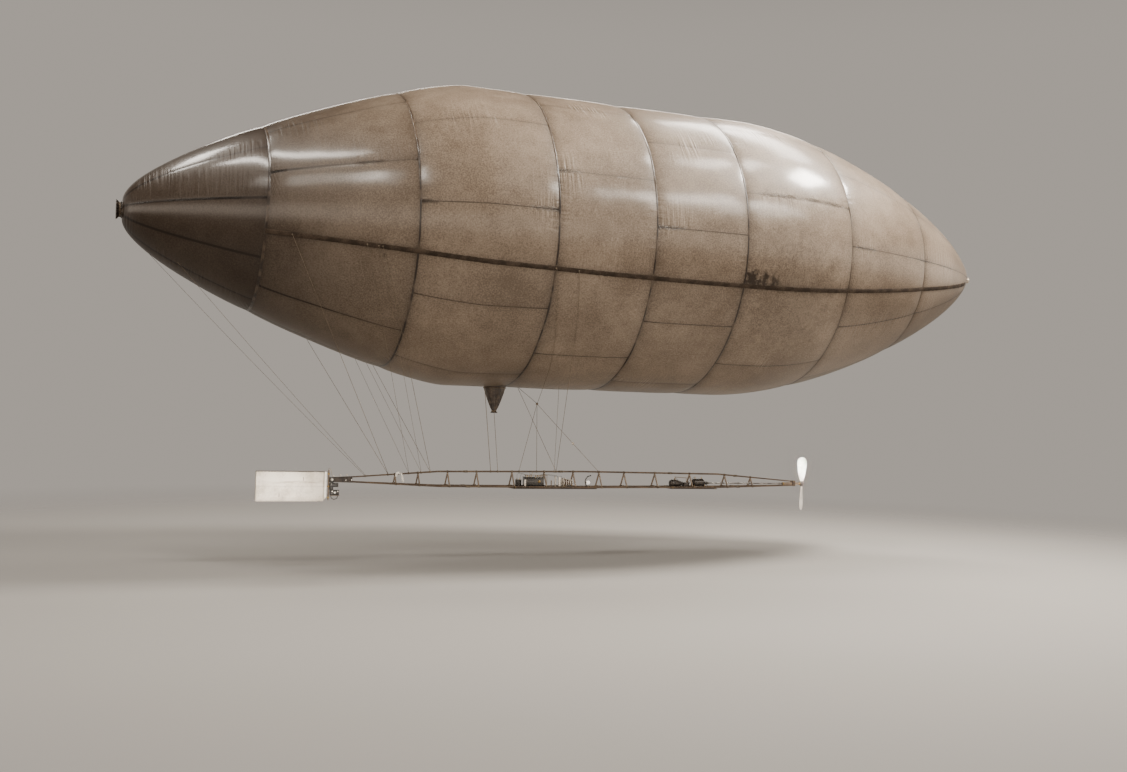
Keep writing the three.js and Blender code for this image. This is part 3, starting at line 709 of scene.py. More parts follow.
cord_lay, wire, shader = new_surface("cord_lay")
dusty = (grains(wire, 60.0, 3.0) * 0.6 + grains(wire, 7.0, 2.0) * 0.5).between(0.4, 0.75)
strands = grains(wire, 420.0, 1.0)
close_surface(
    wire, shader, dusty.mix((0.085, 0.062, 0.041, 1), (0.225, 0.176, 0.122, 1)), 0.8, strands, 0.0005,
)
stitch = round_bar([(-0.013, 0, 0), (-0.007, 0, 0.0008), (0.007, 0, 0.0008), (0.013, 0, 0)], 0.0007, 5)
set_out("band_stitches", stitch, stitches, band_cloth)

# Tips
# The cloth is gathered past each cap and lashed. The stern's stub is thick, dark and cut off square; the
# bow's is a small pale knot.
STERN_TIP = -3.6003
BOW_TIP = 3.6003
# Columns: distance out from the tip, radius, how deep its folds are
STERN_GATHER = [
    (-0.012, 0.060, 0.00), (0.000, 0.0585, 0.05), (0.008, 0.052, 0.06), (0.016, 0.047, 0.05),
    (0.024, 0.053, 0.09), (0.033, 0.061, 0.10), (0.0385, 0.064, 0.11), (0.0395, 0.060, 0.12),
    (0.036, 0.045, 0.14), (0.031, 0.026, 0.22), (0.029, 0.010, 0.30), (0.0285, 0.0, 0.0),
]
BOW_GATHER = [
    (-0.010, 0.023, 0.00), (0.000, 0.022, 0.06), (0.007, 0.0175, 0.08), (0.012, 0.019, 0.10),
    (0.018, 0.024, 0.16), (0.026, 0.024, 0.20), (0.033, 0.019, 0.24), (0.0365, 0.010, 0.30),
    (0.0375, 0.0, 0.0),
]


def gathered(rows, place, folds, seed, steps=144):
    """Cloth drawn together in folds. place() turns a row's distance, an angle and a radius into a point."""
    rings = []
    for reach, radius, depth in rows:
        ring = []
        for k in range(steps):
            turn = 2 * math.pi * k / steps
            drift = 0.7 * noise.noise(Vector((math.cos(turn) * 1.5, math.sin(turn) * 1.5, seed)))
            fold = math.sin(folds * turn + 5.0 * drift) + 0.5 * math.sin((folds * 2 + 3) * turn + 9.0 * drift)
            ring.append(place(reach, turn, radius * (1 + depth * 0.6 * fold)))
        rings.append(ring)
    return skin(rings)


def smooth_rows(rows, parts=4):
    """More rows between the rows of a table"""
    rows = np.array(rows)
    at = np.linspace(0, len(rows) - 1, (len(rows) - 1) * parts + 1)
    whole = np.clip(at.astype(int), 0, len(rows) - 2)
    t = (at - whole)[:, None]
    before = rows[np.clip(whole - 1, 0, None)]
    after = rows[np.clip(whole + 2, None, len(rows) - 1)]
    p, q = rows[whole], rows[whole + 1]
    m, n = (q - before) / 2, (after - p) / 2
    ends = (2 * t**3 - 3 * t**2 + 1) * p + (3 * t**2 - 2 * t**3) * q
    return ends + (t**3 - 2 * t**2 + t) * m + (t**3 - t**2) * n


def coil(centre, axis, radius, turns, pitch, thickness, sides=6, steps=20):
    """Cord wound round an axis"""
    axis = Vector(axis).normalized()
    u = axis.orthogonal().normalized()
    v = axis.cross(u)
    path = []
    for i in range(turns * steps + 1):
        t = 2 * math.pi * i / steps
        out = u * math.cos(t) + v * math.sin(t)
        path.append(Vector(centre) + axis * pitch * (i / steps - turns / 2) + out * radius)
    return round_bar(path, thickness, sides)


def gather_surface(name, scales, spread, dark, light, roughness, depth, coat):
    """Puckered and varnished cloth"""
    surface, wire, shader = new_surface(name)
    pucker = (grains(wire, scales[0], 3.0) * 0.7 + grains(wire, scales[1], 2.0) * 0.35).between(*spread)
    colour = pucker.mix(dark, light)
    close_surface(wire, shader, colour, roughness, pucker, depth, Coat_Weight=coat, Coat_Roughness=0.2)
    return surface


def past_tip(tip, way):
    """Turns a gathered row's distance, angle and radius into a point past a tip"""
    return lambda d, t, r: Vector((tip + way * d, r * math.cos(t), r * math.sin(t)))


gather_dark = gather_surface(
    "gather_dark", (26.0, 90.0), (0.50, 0.72), (0.012, 0.007, 0.004, 1), (0.085, 0.058, 0.038, 1),
    0.45, 0.0022, 0.35,
)
gather_pale = gather_surface(
    "gather_pale", (60.0, 160.0), (0.40, 0.66), (0.120, 0.085, 0.058, 1), (0.600, 0.520, 0.420, 1),
    0.50, 0.0016, 0.30,
)
stub = gathered(smooth_rows(STERN_GATHER), past_tip(STERN_TIP, -1), 13, 1.7)
made("stern_gather", [stub], gather_dark, "tape", "stern_tie")
knob = gathered(smooth_rows(BOW_GATHER), past_tip(BOW_TIP, 1), 9, 4.2)
made("bow_gather", [knob], gather_pale, "cord", "bow_tie")
tip_lashings = [coil((STERN_TIP - 0.016, 0, 0), (1, 0, 0), 0.0495, 4, 0.0031, 0.0016, 6, 48)]
tip_lashings.append(coil((BOW_TIP + 0.0085, 0, 0), (1, 0, 0), 0.0187, 3, 0.0021, 0.0011, 6, 40))
made("tip_lashings", tip_lashings, cord_lay, "cord")

# Filling neck
# A sleeve of the same cloth hangs from the gasbag's belly for filling it with gas. It is tied off with cord,
# and its short end flares below the tie.
NECK_X = -0.868
NECK_TIE_Z = -1.306
# Columns: height, radius, how deep its folds are
NECK_ROWS = [
    (-1.095, 0.096, 0.00), (-1.128, 0.084, 0.02), (-1.160, 0.073, 0.07), (-1.205, 0.056, 0.13),
    (-1.250, 0.039, 0.18), (-1.285, 0.025, 0.20), (-1.306, 0.0165, 0.10), (-1.312, 0.019, 0.16),
    (-1.3205, 0.0245, 0.26), (-1.3215, 0.020, 0.26), (-1.318, 0.010, 0.20), (-1.3175, 0.0, 0.0),
]
neck = gathered(
    smooth_rows(NECK_ROWS), lambda z, t, r: Vector((NECK_X + r * math.cos(t), r * math.sin(t), z)), 8, 7.7,
)
neck_cloth, wire, shader = new_surface("neck_cloth")
crease = grains(wire, 30.0, 3.0)
colour = crease.between(0.35, 0.75).mix((0.016, 0.009, 0.005, 1), (0.085, 0.058, 0.038, 1))
close_surface(wire, shader, colour, 0.5, crease, 0.0020, Coat_Weight=0.35, Coat_Roughness=0.25)
made("neck_sleeve", [neck], neck_cloth, "bag_cloth", "filling_neck")
neck_tie = coil((NECK_X, 0, NECK_TIE_Z), (0, 0, 1), 0.0182, 4, 0.0026, 0.0013)
collar = coil((NECK_X, 0, -1.131), (0, 0, 1), 0.0870, 2, 0.0030, 0.0015, 6, 64)
made("neck_lashing", [neck_tie, collar], cord_lay, "cord")

# Frame poles
# Three planed spruce spars, one above and two below, draw together at both ends. They carry everything that
# hangs under the gasbag, and every joint is lashed with waxed cord.
POLE_RADIUS = 0.007
# Columns: the station, the height of the top pole and of the bottom poles, half the frame's width
FRAME_LINES = np.array([
    (-2.085, -1.831, -1.852, 0.011),
    (-1.300, -1.776, -1.884, 0.063),
    (-0.100, -1.767, -1.888, 0.065),
    (1.100, -1.777, -1.882, 0.060),
    (1.820, -1.832, -1.866, 0.016),
])
CROSS_FRAMES = [
    -1.631, -1.454, -1.224, -0.993, -0.706, -0.440, -0.195, 0.029, 0.248, 0.523, 0.840, 1.167, 1.415,
]
AHEAD = 0.01
SPLICES = [-1.08, -0.30, 0.66, 1.27]


def wood_surface(name, dark, light, along, gloss=0.25):
    """Planed and varnished wood. The grain runs along the axis whose number is the lowest."""
    surface, wire, shader = new_surface(name)
    fibre = grains(wire, 1.0, 4.0, here(wire).vector("MULTIPLY", along))
    soot = grains(wire, 8.0, 3.0)
    shade = (fibre * 0.65 + soot * 0.5).between(0.42, 0.76)
    close_surface(
        wire, shader, shade.mix(dark, light), fibre * 0.25 + 0.36, fibre, 0.0004,
        Coat_Weight=gloss, Coat_Roughness=0.3,
    )
    return surface


def finish(material, *nodes):
    """A carried-over CAD node takes a material"""
    for node in nodes:
        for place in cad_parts[node].material_slots:
            place.material = material


def frame_at(x):
    """Heights of the top and bottom poles and half the frame's width, at a station"""
    return [float(np.interp(x, FRAME_LINES[:, 0], FRAME_LINES[:, k])) for k in (1, 2, 3)]


spruce = wood_surface("spruce", (0.038, 0.022, 0.012, 1), (0.135, 0.088, 0.052, 1), (14.0, 420.0, 420.0))
finish(spruce, "top_chord", "bottom_chord_starboard", "bottom_chord_port")
lashed = []
spliced = []
for x, kind in [(x, lashed) for x in CROSS_FRAMES] + [(x, spliced) for x in SPLICES]:
    top, bottom, half = frame_at(x)
    ahead_top, ahead_bottom, ahead_half = frame_at(x + AHEAD)
    kind.append(((x, 0, top), (0, 0, 1), (AHEAD, 0, ahead_top - top), 1.0))
    for side in (-1, 1):
        way = (AHEAD, side * (ahead_half - half), ahead_bottom - bottom)
        kind.append(((x, side * half, bottom), (0, 0, 1), way, 1.0))
winding = coil((0, 0, 0), (1, 0, 0), POLE_RADIUS + 0.0009, 5, 0.0028, 0.0012, 5, 12)
set_out("pole_lashings", winding, lashed, cord_lay)
wrap = coil((0, 0, 0), (1, 0, 0), POLE_RADIUS + 0.0007, 14, 0.0024, 0.0011, 5, 12)
set_out("pole_splices", wrap, spliced, cord_lay)

# Cross frames
# Thin ash strips cut and glued to an A hold the three poles apart. A brass pin goes through each foot and
# each head.
ash = wood_surface("ash", (0.085, 0.056, 0.034, 1), (0.250, 0.182, 0.122, 1), (300.0, 300.0, 24.0))
pins = []
for number, x in enumerate(CROSS_FRAMES):
    finish(ash, f"cross_frame_{number + 1}")
    low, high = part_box(f"cross_frame_{number + 1}")
    top, bottom, half = frame_at(x)
    for y, z in ((0.0, high.z - 0.008), (-half + 0.004, low.z + 0.003), (half - 0.004, low.z + 0.003)):
        pins.append(((low.x, y, z), (-1, 0, 0), (0, 1, 0), 1.0))
        pins.append(((high.x, y, z), (1, 0, 0), (0, 1, 0), 1.0))


def turned(profile, centre=(0, 0, 0), axis=(0, 0, 1), sides=32):
    """A turned shape: rows are the place along an axis and the radius, and begin and end at radius 0"""
    axis = Vector(axis).normalized()
    u = axis.orthogonal().normalized()
    v = axis.cross(u)
    turns = [2 * math.pi * k / sides for k in range(sides)]
    ways = [u * math.cos(t) + v * math.sin(t) for t in turns]
    return skin([[Vector(centre) + axis * place + way * radius for way in ways] for place, radius in profile])


def metal_surface(name, dark, light, scale, roughness, metallic, coat=0.0):
    """Metal or painted metal, with tarnish and scratches"""
    surface, wire, shader = new_surface(name)
    tarnish = (grains(wire, scale, 4.0) * 0.7 + grains(wire, scale * 7, 2.0) * 0.35).between(0.42, 0.72)
    scratches = grains(wire, scale * 5, 2.0)
    close_surface(
        wire, shader, tarnish.mix(dark, light), tarnish * -0.18 + roughness, scratches, 0.0002,
        Metallic=metallic, Coat_Weight=coat, Coat_Roughness=0.15,
    )
    return surface


brass = metal_surface("brass", (0.200, 0.130, 0.050, 1), (0.620, 0.460, 0.220, 1), 40.0, 0.42, 0.9)
pin = turned([(-0.0005, 0), (-0.0005, 0.0024), (0.0004, 0.0024), (0.0010, 0.0015), (0.0012, 0)], sides=8)
set_out("frame_pins", pin, pins, brass)

# Stays
# Hemp cords run from the top pole up to the load bands and lie against the cloth where it bulges. A crow's
# foot amidships gathers three falls into one knot. Lighter lines fill in aft of it, and none is rigged under
# the bow half.
STAY_RADIUS = 0.0015
# Columns: the station on the top pole and the station on the load bands
FILLING_PAIRS = [(-1.527, -2.088), (-1.431, -2.016)]
# Columns: the lower end, the upper end's station, angle and side, how far the line sags, its radius
LOOSE_LINES = [
    ((-1.855, -0.004, -1.8065), (-3.24, -62.0, -1), 0.010, 0.0011),
    ((-1.862, 0.004, -1.8065), (-3.42, -70.0, 1), 0.014, 0.0011),
    ((-0.880, 0.003, -1.7635), (-0.975, -86.0, -1), 0.0, 0.0022),
    ((-0.355, 0.0, -1.7615), (-0.413, -80.0, -1), 0.0, 0.0013),
]
NECK_LINE = ((-0.823, 0, -1.764), (-0.866, 0, -1.319))
FALL_BLOCK = (-0.2033, 0.0, -1.5459)


def stay_path(start, band_x, side, radius, count=24):
    """A taut line's points, pulled straight and pushed back out of the cloth until they rest"""
    lift = BAND_THICK + radius + 0.0008
    end = on_cloth(band_x, band_angle(band_x), side, lift)
    t = np.linspace(0, 1, count)[:, None]
    points = np.array(start) * (1 - t) + np.array(end) * t
    for _ in range(1500):
        points[1:-1] = (points[:-2] + points[2:]) / 2
        reach = np.hypot(points[:, 1], points[:, 2])
        push = np.maximum(1.0, (bag_radius(points[:, 0]) + lift) / reach)
        points[1:-1, 1:] *= push[1:-1, None]
    return [Vector(p) for p in points]


def pole_top(x, side):
    """Where a line leaves the top pole"""
    lean = math.radians(38)
    reach = POLE_RADIUS + STAY_RADIUS + 0.0003
    return Vector((x, side * reach * math.sin(lean), frame_at(x)[0] + reach * math.cos(lean)))


stays = [f"stay_{name}_{hand}" for name in ("aft", "main", "fore") for hand in ("starboard", "port")]
legs = ["crow_foot_leg_starboard", "crow_foot_leg_port"]
finish(cord_lay, *stays, *legs, "crow_foot_fall_1", "crow_foot_fall_2", "crow_foot_fall_3")
lines = []
for pole_x, band_x in FILLING_PAIRS:
    for side in (-1, 1):
        lines.append(round_bar(stay_path(pole_top(pole_x, side), band_x, side, 0.0012), 0.0012, 6))
for foot, (x, angle, side), sag, radius in LOOSE_LINES:
    head = on_cloth(x, math.radians(angle), side, radius)
    path = [Vector(foot).lerp(head, t) - Vector((0, 0, sag * 4 * t * (1 - t))) for t in np.linspace(0, 1, 17)]
    lines.append(round_bar(path, radius, 6))
lines.append(round_bar([Vector(NECK_LINE[0]).lerp(Vector(NECK_LINE[1]), t) for t in (0, 0.5, 1)], 0.0018, 6))
made("filling_lines", lines, cord_lay, "cord")
knots = []
for x in (-1.684, -1.361, -0.340, -1.527, -1.431, -1.855, -0.880, -0.823, -0.355, -0.648, -0.503, 0.018):
    top = frame_at(x)[0]
    knots.append(((x, 0, top), (0, 0, 1), (AHEAD, 0, frame_at(x + AHEAD)[0] - top), 1.0))
hitch = coil((0, 0, 0), (1, 0, 0), 0.0079, 3, 0.0026, 0.0012, 5, 12)
set_out("stay_hitches", hitch, knots, cord_lay)


def knotted(centre, radius, seed):
    """A tight round knot"""
    form = bmesh.new()
    bmesh.ops.create_icosphere(form, subdivisions=3, radius=1.0)
    points = []
    for corner in form.verts:
        p = corner.co
        lay = 0.10 * math.sin(7.0 * p.x + 5.0 * p.z + seed) + 0.07 * math.sin(9.0 * p.y - 6.0 * p.x)
        points.append(Vector(centre) + p * radius * (0.88 + lay * 0.65))
    faces = [[corner.index for corner in face.verts] for face in form.faces]
    form.free()
    return points, faces


upper_knots = []
for band_x in (-2.556, -1.990, -0.640, -0.809, -2.088, -2.016):
    for side in (-1, 1):
        upper_knots.append(knotted(on_cloth(band_x, band_angle(band_x), side, 0.0065), 0.0060, band_x))
low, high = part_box("crow_foot_ring")
upper_knots.append(knotted((low + high) / 2, (high.x - low.x) / 2, 0.5))
made("stay_knots", upper_knots, cord_lay, "cord", "crow_foot_ring")
porcelain, wire, shader = new_surface("porcelain")
crazed = grains(wire, 90.0, 3.0)
colour = crazed.between(0.3, 0.8).mix((0.42, 0.36, 0.29, 1), (0.80, 0.75, 0.67, 1))
gloss = crazed * 0.15 + 0.15
close_surface(wire, shader, colour, gloss, crazed, 0.0002, Coat_Weight=0.6, Coat_Roughness=0.08)
egg = [
    (-0.011, 0), (-0.0105, 0.004), (-0.007, 0.008), (-0.002, 0.0095), (0, 0.0075), (0.002, 0.0095),
    (0.007, 0.008), (0.0105, 0.004), (0.011, 0),
]
low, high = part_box("crow_foot_fall_3")
fall_way = (high.x - low.x, 0, low.z - high.z)
made("fall_insulator", [turned(egg, FALL_BLOCK, fall_way, 24)], porcelain, "lamp_glass")

# Propeller and its drive
# Two nearly flat paddles of sheet metal, enamelled white, stand at a steep pitch, clamped in a bolted hub. A
# steel shaft runs back to the motor, and a wood sleeve and a dark block hold it at the bow.
SHAFT_Z = -1.852
HUB_X = 1.921
HUB_RADIUS = 0.013
BLADE_PITCH = math.radians(53)
# Columns: distance from the shaft, width, thickness, camber
BLADE_ROWS = [
    (0.006, 0.016, 0.0120, 0.0), (0.016, 0.020, 0.0100, 0.0), (0.028, 0.028, 0.0070, 0.001),
    (0.050, 0.044, 0.0058, 0.002), (0.088, 0.061, 0.0050, 0.003), (0.122, 0.071, 0.0042, 0.004),
    (0.154, 0.079, 0.0036, 0.004), (0.180, 0.080, 0.0032, 0.004), (0.200, 0.072, 0.0028, 0.003),
    (0.213, 0.055, 0.0026, 0.002), (0.220, 0.036, 0.0024, 0.001), (0.223, 0.014, 0.0020, 0.0),
]


def paddle(hand):
    """One blade, up for hand 1 and down for -1, of rounded sections"""
    rings = []
    across = Vector((math.sin(BLADE_PITCH), -math.cos(BLADE_PITCH) * hand, 0))
    face = Vector((math.cos(BLADE_PITCH), math.sin(BLADE_PITCH) * hand, 0))
    for r, width, thick, camber in smooth_rows(BLADE_ROWS, 6):
        middle = Vector((HUB_X, 0, SHAFT_Z + r * hand))
        ring = []
        for k in range(28):
            turn = 2 * math.pi * (k + 0.5) / 28
            s = math.cos(turn)
            rise = math.sin(turn) * thick / 2 + camber * (1 - s * s)
            ring.append(middle + across * s * width / 2 + face * rise)
        rings.append(ring)
    return skin(rings)


enamel, wire, shader = new_surface("white_enamel")
brushed = grains(wire, 1.0, 3.0, here(wire).vector("MULTIPLY", (160.0, 160.0, 12.0)))
grime = (grains(wire, 22.0, 4.0) * 0.7 + brushed * 0.35).between(0.34, 0.68)
colour = grime.mix((0.66, 0.61, 0.54, 1), (0.90, 0.87, 0.82, 1))
gloss = brushed * 0.2 + 0.22
close_surface(wire, shader, colour, gloss, brushed, 0.0003, Coat_Weight=0.5, Coat_Roughness=0.12)
steel = metal_surface("steel", (0.120, 0.110, 0.100, 1), (0.420, 0.395, 0.360, 1), 30.0, 0.40, 0.85)
hub_rows = [
    (-0.013, 0), (-0.013, 0.011), (-0.012, 0.012), (-0.009, 0.012), (-0.0085, HUB_RADIUS),
    (0.0085, HUB_RADIUS), (0.009, 0.012), (0.011, 0.012), (0.012, 0.010), (0.0125, 0.0075), (0.013, 0.0),
]
clamp_rows = [(0.011, 0), (0.011, 0.0115), (0.013, 0.0125), (0.021, 0.0125), (0.023, 0.0105), (0.023, 0)]
hub = [turned(hub_rows, (HUB_X, 0, SHAFT_Z), (1, 0, 0), 40)]
for hand in (1, -1):
    hub.append(turned(clamp_rows, (HUB_X, 0, SHAFT_Z), (0, 0, hand), 32))
made("paddles", [paddle(1), paddle(-1)], enamel, "sheet", "propeller", body="propeller")
made("hub", hub, steel, "iron", body="propeller")
hex_head = turned([(-0.001, 0), (-0.001, 0.0028), (0.0016, 0.0028), (0.0021, 0.0022), (0.0021, 0)], sides=6)
bolts = []
for y, z in ((-0.0085, 0.0065), (0.0085, 0.0065), (-0.0085, -0.0065), (0.0085, -0.0065)):
    bolts.append(((HUB_X + 0.0095, y, SHAFT_Z + z), (1, 0, 0), (0, 1, 0), 0.75))
set_out("hub_bolts", hex_head, bolts, brass, "propeller")
finish(steel, "drive_shaft")
collar_rows = [(-0.006, 0), (-0.006, 0.008), (-0.005, 0.009), (0.005, 0.009), (0.006, 0.008), (0.006, 0)]
collars = [turned(collar_rows, (x, 0, SHAFT_Z), (1, 0, 0), 24) for x in (1.014, 1.30, 1.700)]
made("shaft_collars", collars, steel, "iron", body="propeller")
pale_ash = wood_surface("pale_ash", (0.100, 0.068, 0.042, 1), (0.300, 0.226, 0.156, 1), (16.0, 300.0, 300.0))
ebony = wood_surface("dark_wood", (0.011, 0.007, 0.004, 1), (0.048, 0.031, 0.020, 1), (18.0, 260.0, 260.0))
finish(pale_ash, "shaft_sleeve")
finish(ebony, "bow_block")


def bored(rows, centre, u, v, sides):
    """A turned shape with a bore, its axis square to u and v. Rows are the place along it and the radius."""
    u, v = Vector(u), Vector(v)
    rings = []
    for k in range(sides):
        turn = 2 * math.pi * k / sides
        way = u * math.cos(turn) + v * math.sin(turn)
        rings.append([Vector(centre) + u.cross(v) * place + way * radius for place, radius in rows])
    return skin(rings, ring_shaped=True)


ferrules = []
for x, end in ((1.731, 0.012), (1.889, 0.013)):
    rows = [(0, 0.0112), (0, 0.0122), (0.0006, 0.0128), (end - 0.0006, 0.0128), (end, 0.0122), (end, 0.0112)]
    ferrules.append(bored(rows, (x, 0, SHAFT_Z), (0, 1, 0), (0, 0, 1), 36))
made("sleeve_ferrules", ferrules, brass, "brass")
low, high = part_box("bow_block")
block_screws = []
for z in (low.z + 0.008, high.z - 0.008):
    for x in (low.x + 0.006, high.x - 0.006):
        block_screws.append(((x, low.y, z), (0, -1, 0), (1, 0, 0), 1.3))
        block_screws.append(((x, high.y, z), (0, 1, 0), (1, 0, 0), 1.3))
set_out("bow_block_screws", pin, block_screws, brass)

# Rudder
# Pale linen is stretched over a light frame of battens and laced along its edges. Three screw eyes hang it on
# the post, and its lower fore corner is cut off.
RUDDER_AFT, RUDDER_FORE = -2.647, -2.1385
RUDDER_TOP, RUDDER_FOOT = -1.7845, -2.0015
RUDDER_CORNER = 0.028
RUDDER_EYES = [-1.800, -1.892, -1.973]
POST_X = -2.124
BATTEN_HEIGHTS = [-1.7875, -1.893, -1.9985]


def rudder_fore(z):
    """The rudder's fore edge at a height"""
    return RUDDER_FORE - max(0.0, RUDDER_CORNER - (z - RUDDER_FOOT))


def box_bar(start, end, width, depth):
    """A square-edged bar in the rudder's plane, of a width and a depth across it"""
    start, end = Vector(start), Vector(end)
    along = (end - start).normalized()
    a = along.cross(Vector((0, 1, 0))).normalized() * width / 2
    b = Vector((0, depth / 2, 0))
    return skin([[p + a + b, p - a + b, p - a - b, p + a - b] for p in (start, end)])


linen, wire, shader = new_surface("rudder_linen")
warp = here(wire).vector("MULTIPLY", (150.0, 150.0, 1100.0))
weft = here(wire).vector("MULTIPLY", (1100.0, 150.0, 150.0))
threads = grains(wire, 1.0, 2.0, warp) + grains(wire, 1.0, 2.0, weft)
soiled = (grains(wire, 9.0, 4.0) * 0.75 + grains(wire, 70.0, 3.0) * 0.3).between(0.30, 0.62)
height = here(wire).part(2)
over_batten = abs(height - BATTEN_HEIGHTS[1]).fade(0.0035)
spot = here(wire).vector("DISTANCE", (-2.45, -0.003, -1.975), 1).fade(0.012)
length = here(wire).part(0)
strip_line = abs(length - (RUDDER_FORE - 0.019)).fade(0.003)
hem = abs(height - RUDDER_TOP).fade(0.005) + abs(height - RUDDER_FOOT).fade(0.004)
hem = hem + abs(length - RUDDER_AFT).fade(0.004)
shadow = over_batten * 0.32 + spot * 0.5 + strip_line * 0.75 + hem * 0.55
linen_colour = soiled.mix((0.49, 0.43, 0.35, 1), (0.76, 0.70, 0.61, 1))
colour = shadow.mix(linen_colour, (0.16, 0.12, 0.085, 1))
close_surface(wire, shader, colour, 0.85, threads, 0.0004, Sheen_Weight=0.15)
ACROSS, DOWN = 84, 40
form = bmesh.new()
grid = []
for j in range(DOWN + 1):
    z = RUDDER_TOP + (RUDDER_FOOT - RUDDER_TOP) * j / DOWN
    row = []
    for i in range(ACROSS + 1):
        x = RUDDER_AFT + (rudder_fore(z) - RUDDER_AFT) * i / ACROSS
        hollow = math.sin(math.pi * 2 * j / DOWN) ** 2 * math.sin(math.pi * i / ACROSS) ** 0.5
        edge = min(i, ACROSS - i, j, DOWN - j) / 8.0
        pull = 0.0007 * math.sin(x * 260.0) * math.exp(-edge)
        billow = 0.0012 * noise.noise(Vector((x * 9.0, 0, z * 16.0)))
        row.append(form.verts.new((x, -0.0029 + 0.0012 * hollow + pull + billow * hollow, z)))
    grid.append(row)
for j in range(DOWN):
    for i in range(ACROSS):
        form.faces.new((grid[j][i], grid[j][i + 1], grid[j + 1][i + 1], grid[j + 1][i]))
bmesh.ops.recalc_face_normals(form, faces=form.faces)


def thin_cloth(name, form, material, thickness, offset, body):
    """A single layer of cloth with a thickness"""
    mesh = bpy.data.meshes.new(name)
    form.to_mesh(mesh)
    form.free()
    mesh.shade_smooth()
    mesh.materials.append(material)
    piece = bpy.data.objects.new(name, mesh)
    bpy.context.scene.collection.objects.link(piece)
    layer = piece.modifiers.new("thickness", "SOLIDIFY")
    layer.thickness = thickness
    layer.offset = offset
    return hand_over(piece, body=body)


rudder_cloth = thin_cloth("rudder_cloth", form, linen, 0.0006, 0.0, "rudder")
battens = []
for z in BATTEN_HEIGHTS:
    start, end = (RUDDER_AFT + 0.001, 0.0003, z), (rudder_fore(z) - 0.001, 0.0003, z)
    battens.append(box_bar(start, end, 0.005, 0.005))
for x in (RUDDER_AFT + 0.0035, -2.478, -2.308, RUDDER_FORE - 0.0035):
    foot = RUDDER_FOOT + (RUDDER_CORNER if x > -2.16 else 0.0055)
    battens.append(box_bar((x, 0.0004, RUDDER_TOP - 0.0055), (x, 0.0004, foot), 0.006, 0.0048))
corner_foot = (RUDDER_FORE - RUDDER_CORNER, 0.0004, RUDDER_FOOT + 0.003)
corner_head = (RUDDER_FORE - 0.003, 0.0004, RUDDER_FOOT + RUDDER_CORNER)
battens.append(box_bar(corner_foot, corner_head, 0.006, 0.0046))
rudder_frame = made("rudder_battens", battens, pale_ash, "wood", "rudder", body="rudder")


def woven(name, broad, fine, dark, light, roughness):
    """Pale cloth with a weave and a little soil"""
    surface, wire, shader = new_surface(name)
    weave = grains(wire, fine, 2.0)
    soil = (grains(wire, broad, 3.0) * 0.7 + weave * 0.3).between(0.3, 0.6)
    close_surface(wire, shader, soil.mix(dark, light), roughness, weave, 0.0004)
    return surface


edge_tape = woven("edge_tape", 40.0, 500.0, (0.70, 0.65, 0.57, 1), (0.92, 0.90, 0.85, 1), 0.7)
strip_x = RUDDER_FORE - 0.0078
strip = box_bar((strip_x, -0.004, RUDDER_TOP - 0.001), (strip_x, -0.004, RUDDER_FOOT + 0.029), 0.015, 0.0007)
made("rudder_fore_tape", [strip], edge_tape, "panel_cloth", body="rudder")
rod_z = RUDDER_TOP - 0.0006
head_rod = round_bar([(RUDDER_AFT, -0.0016, rod_z), (RUDDER_FORE + 0.002, -0.0016, rod_z)], 0.0028)
made("rudder_head_rod", [head_rod], ebony, "wood", body="rudder")
LACE_STEP = 0.0125
lacing = []
for x in np.arange(RUDDER_AFT + 0.010, RUDDER_FORE - 0.008, LACE_STEP):
    lacing.append(((x, -0.0036, RUDDER_TOP - 0.004), (0, -1, 0), (0.4, 0, 1), 0.36))
    if x < RUDDER_FORE - RUDDER_CORNER:
        lacing.append(((x, -0.0036, RUDDER_FOOT + 0.004), (0, -1, 0), (0.4, 0, 1), 0.36))
for z in np.arange(RUDDER_FOOT + 0.010, RUDDER_TOP - 0.008, LACE_STEP):
    lacing.append(((RUDDER_AFT + 0.004, -0.0036, z), (0, -1, 0), (1, 0, 0.4), 0.36))
set_out("rudder_lacing", stitch, lacing, cord_lay, "rudder")
eye_rows = [
    (-0.006, 0.0056), (-0.006, 0.0078), (-0.0042, 0.0088), (0.0042, 0.0088), (0.006, 0.0078),
    (0.006, 0.0056),
]
eyes = []
for z in RUDDER_EYES:
    eyes.append(bored(eye_rows, (POST_X, 0, z), (1, 0, 0), (0, 1, 0), 28))
    eyes.append(round_bar([(RUDDER_FORE - 0.009, 0.0005, z), (POST_X - 0.0080, 0.0005, z)], 0.0019))
made("rudder_eyes", eyes, brass, "brass", body="rudder")
post_wood = wood_surface("post_wood", (0.070, 0.044, 0.026, 1), (0.230, 0.160, 0.100, 1), (300, 300, 14))
finish(post_wood, "rudder_post")

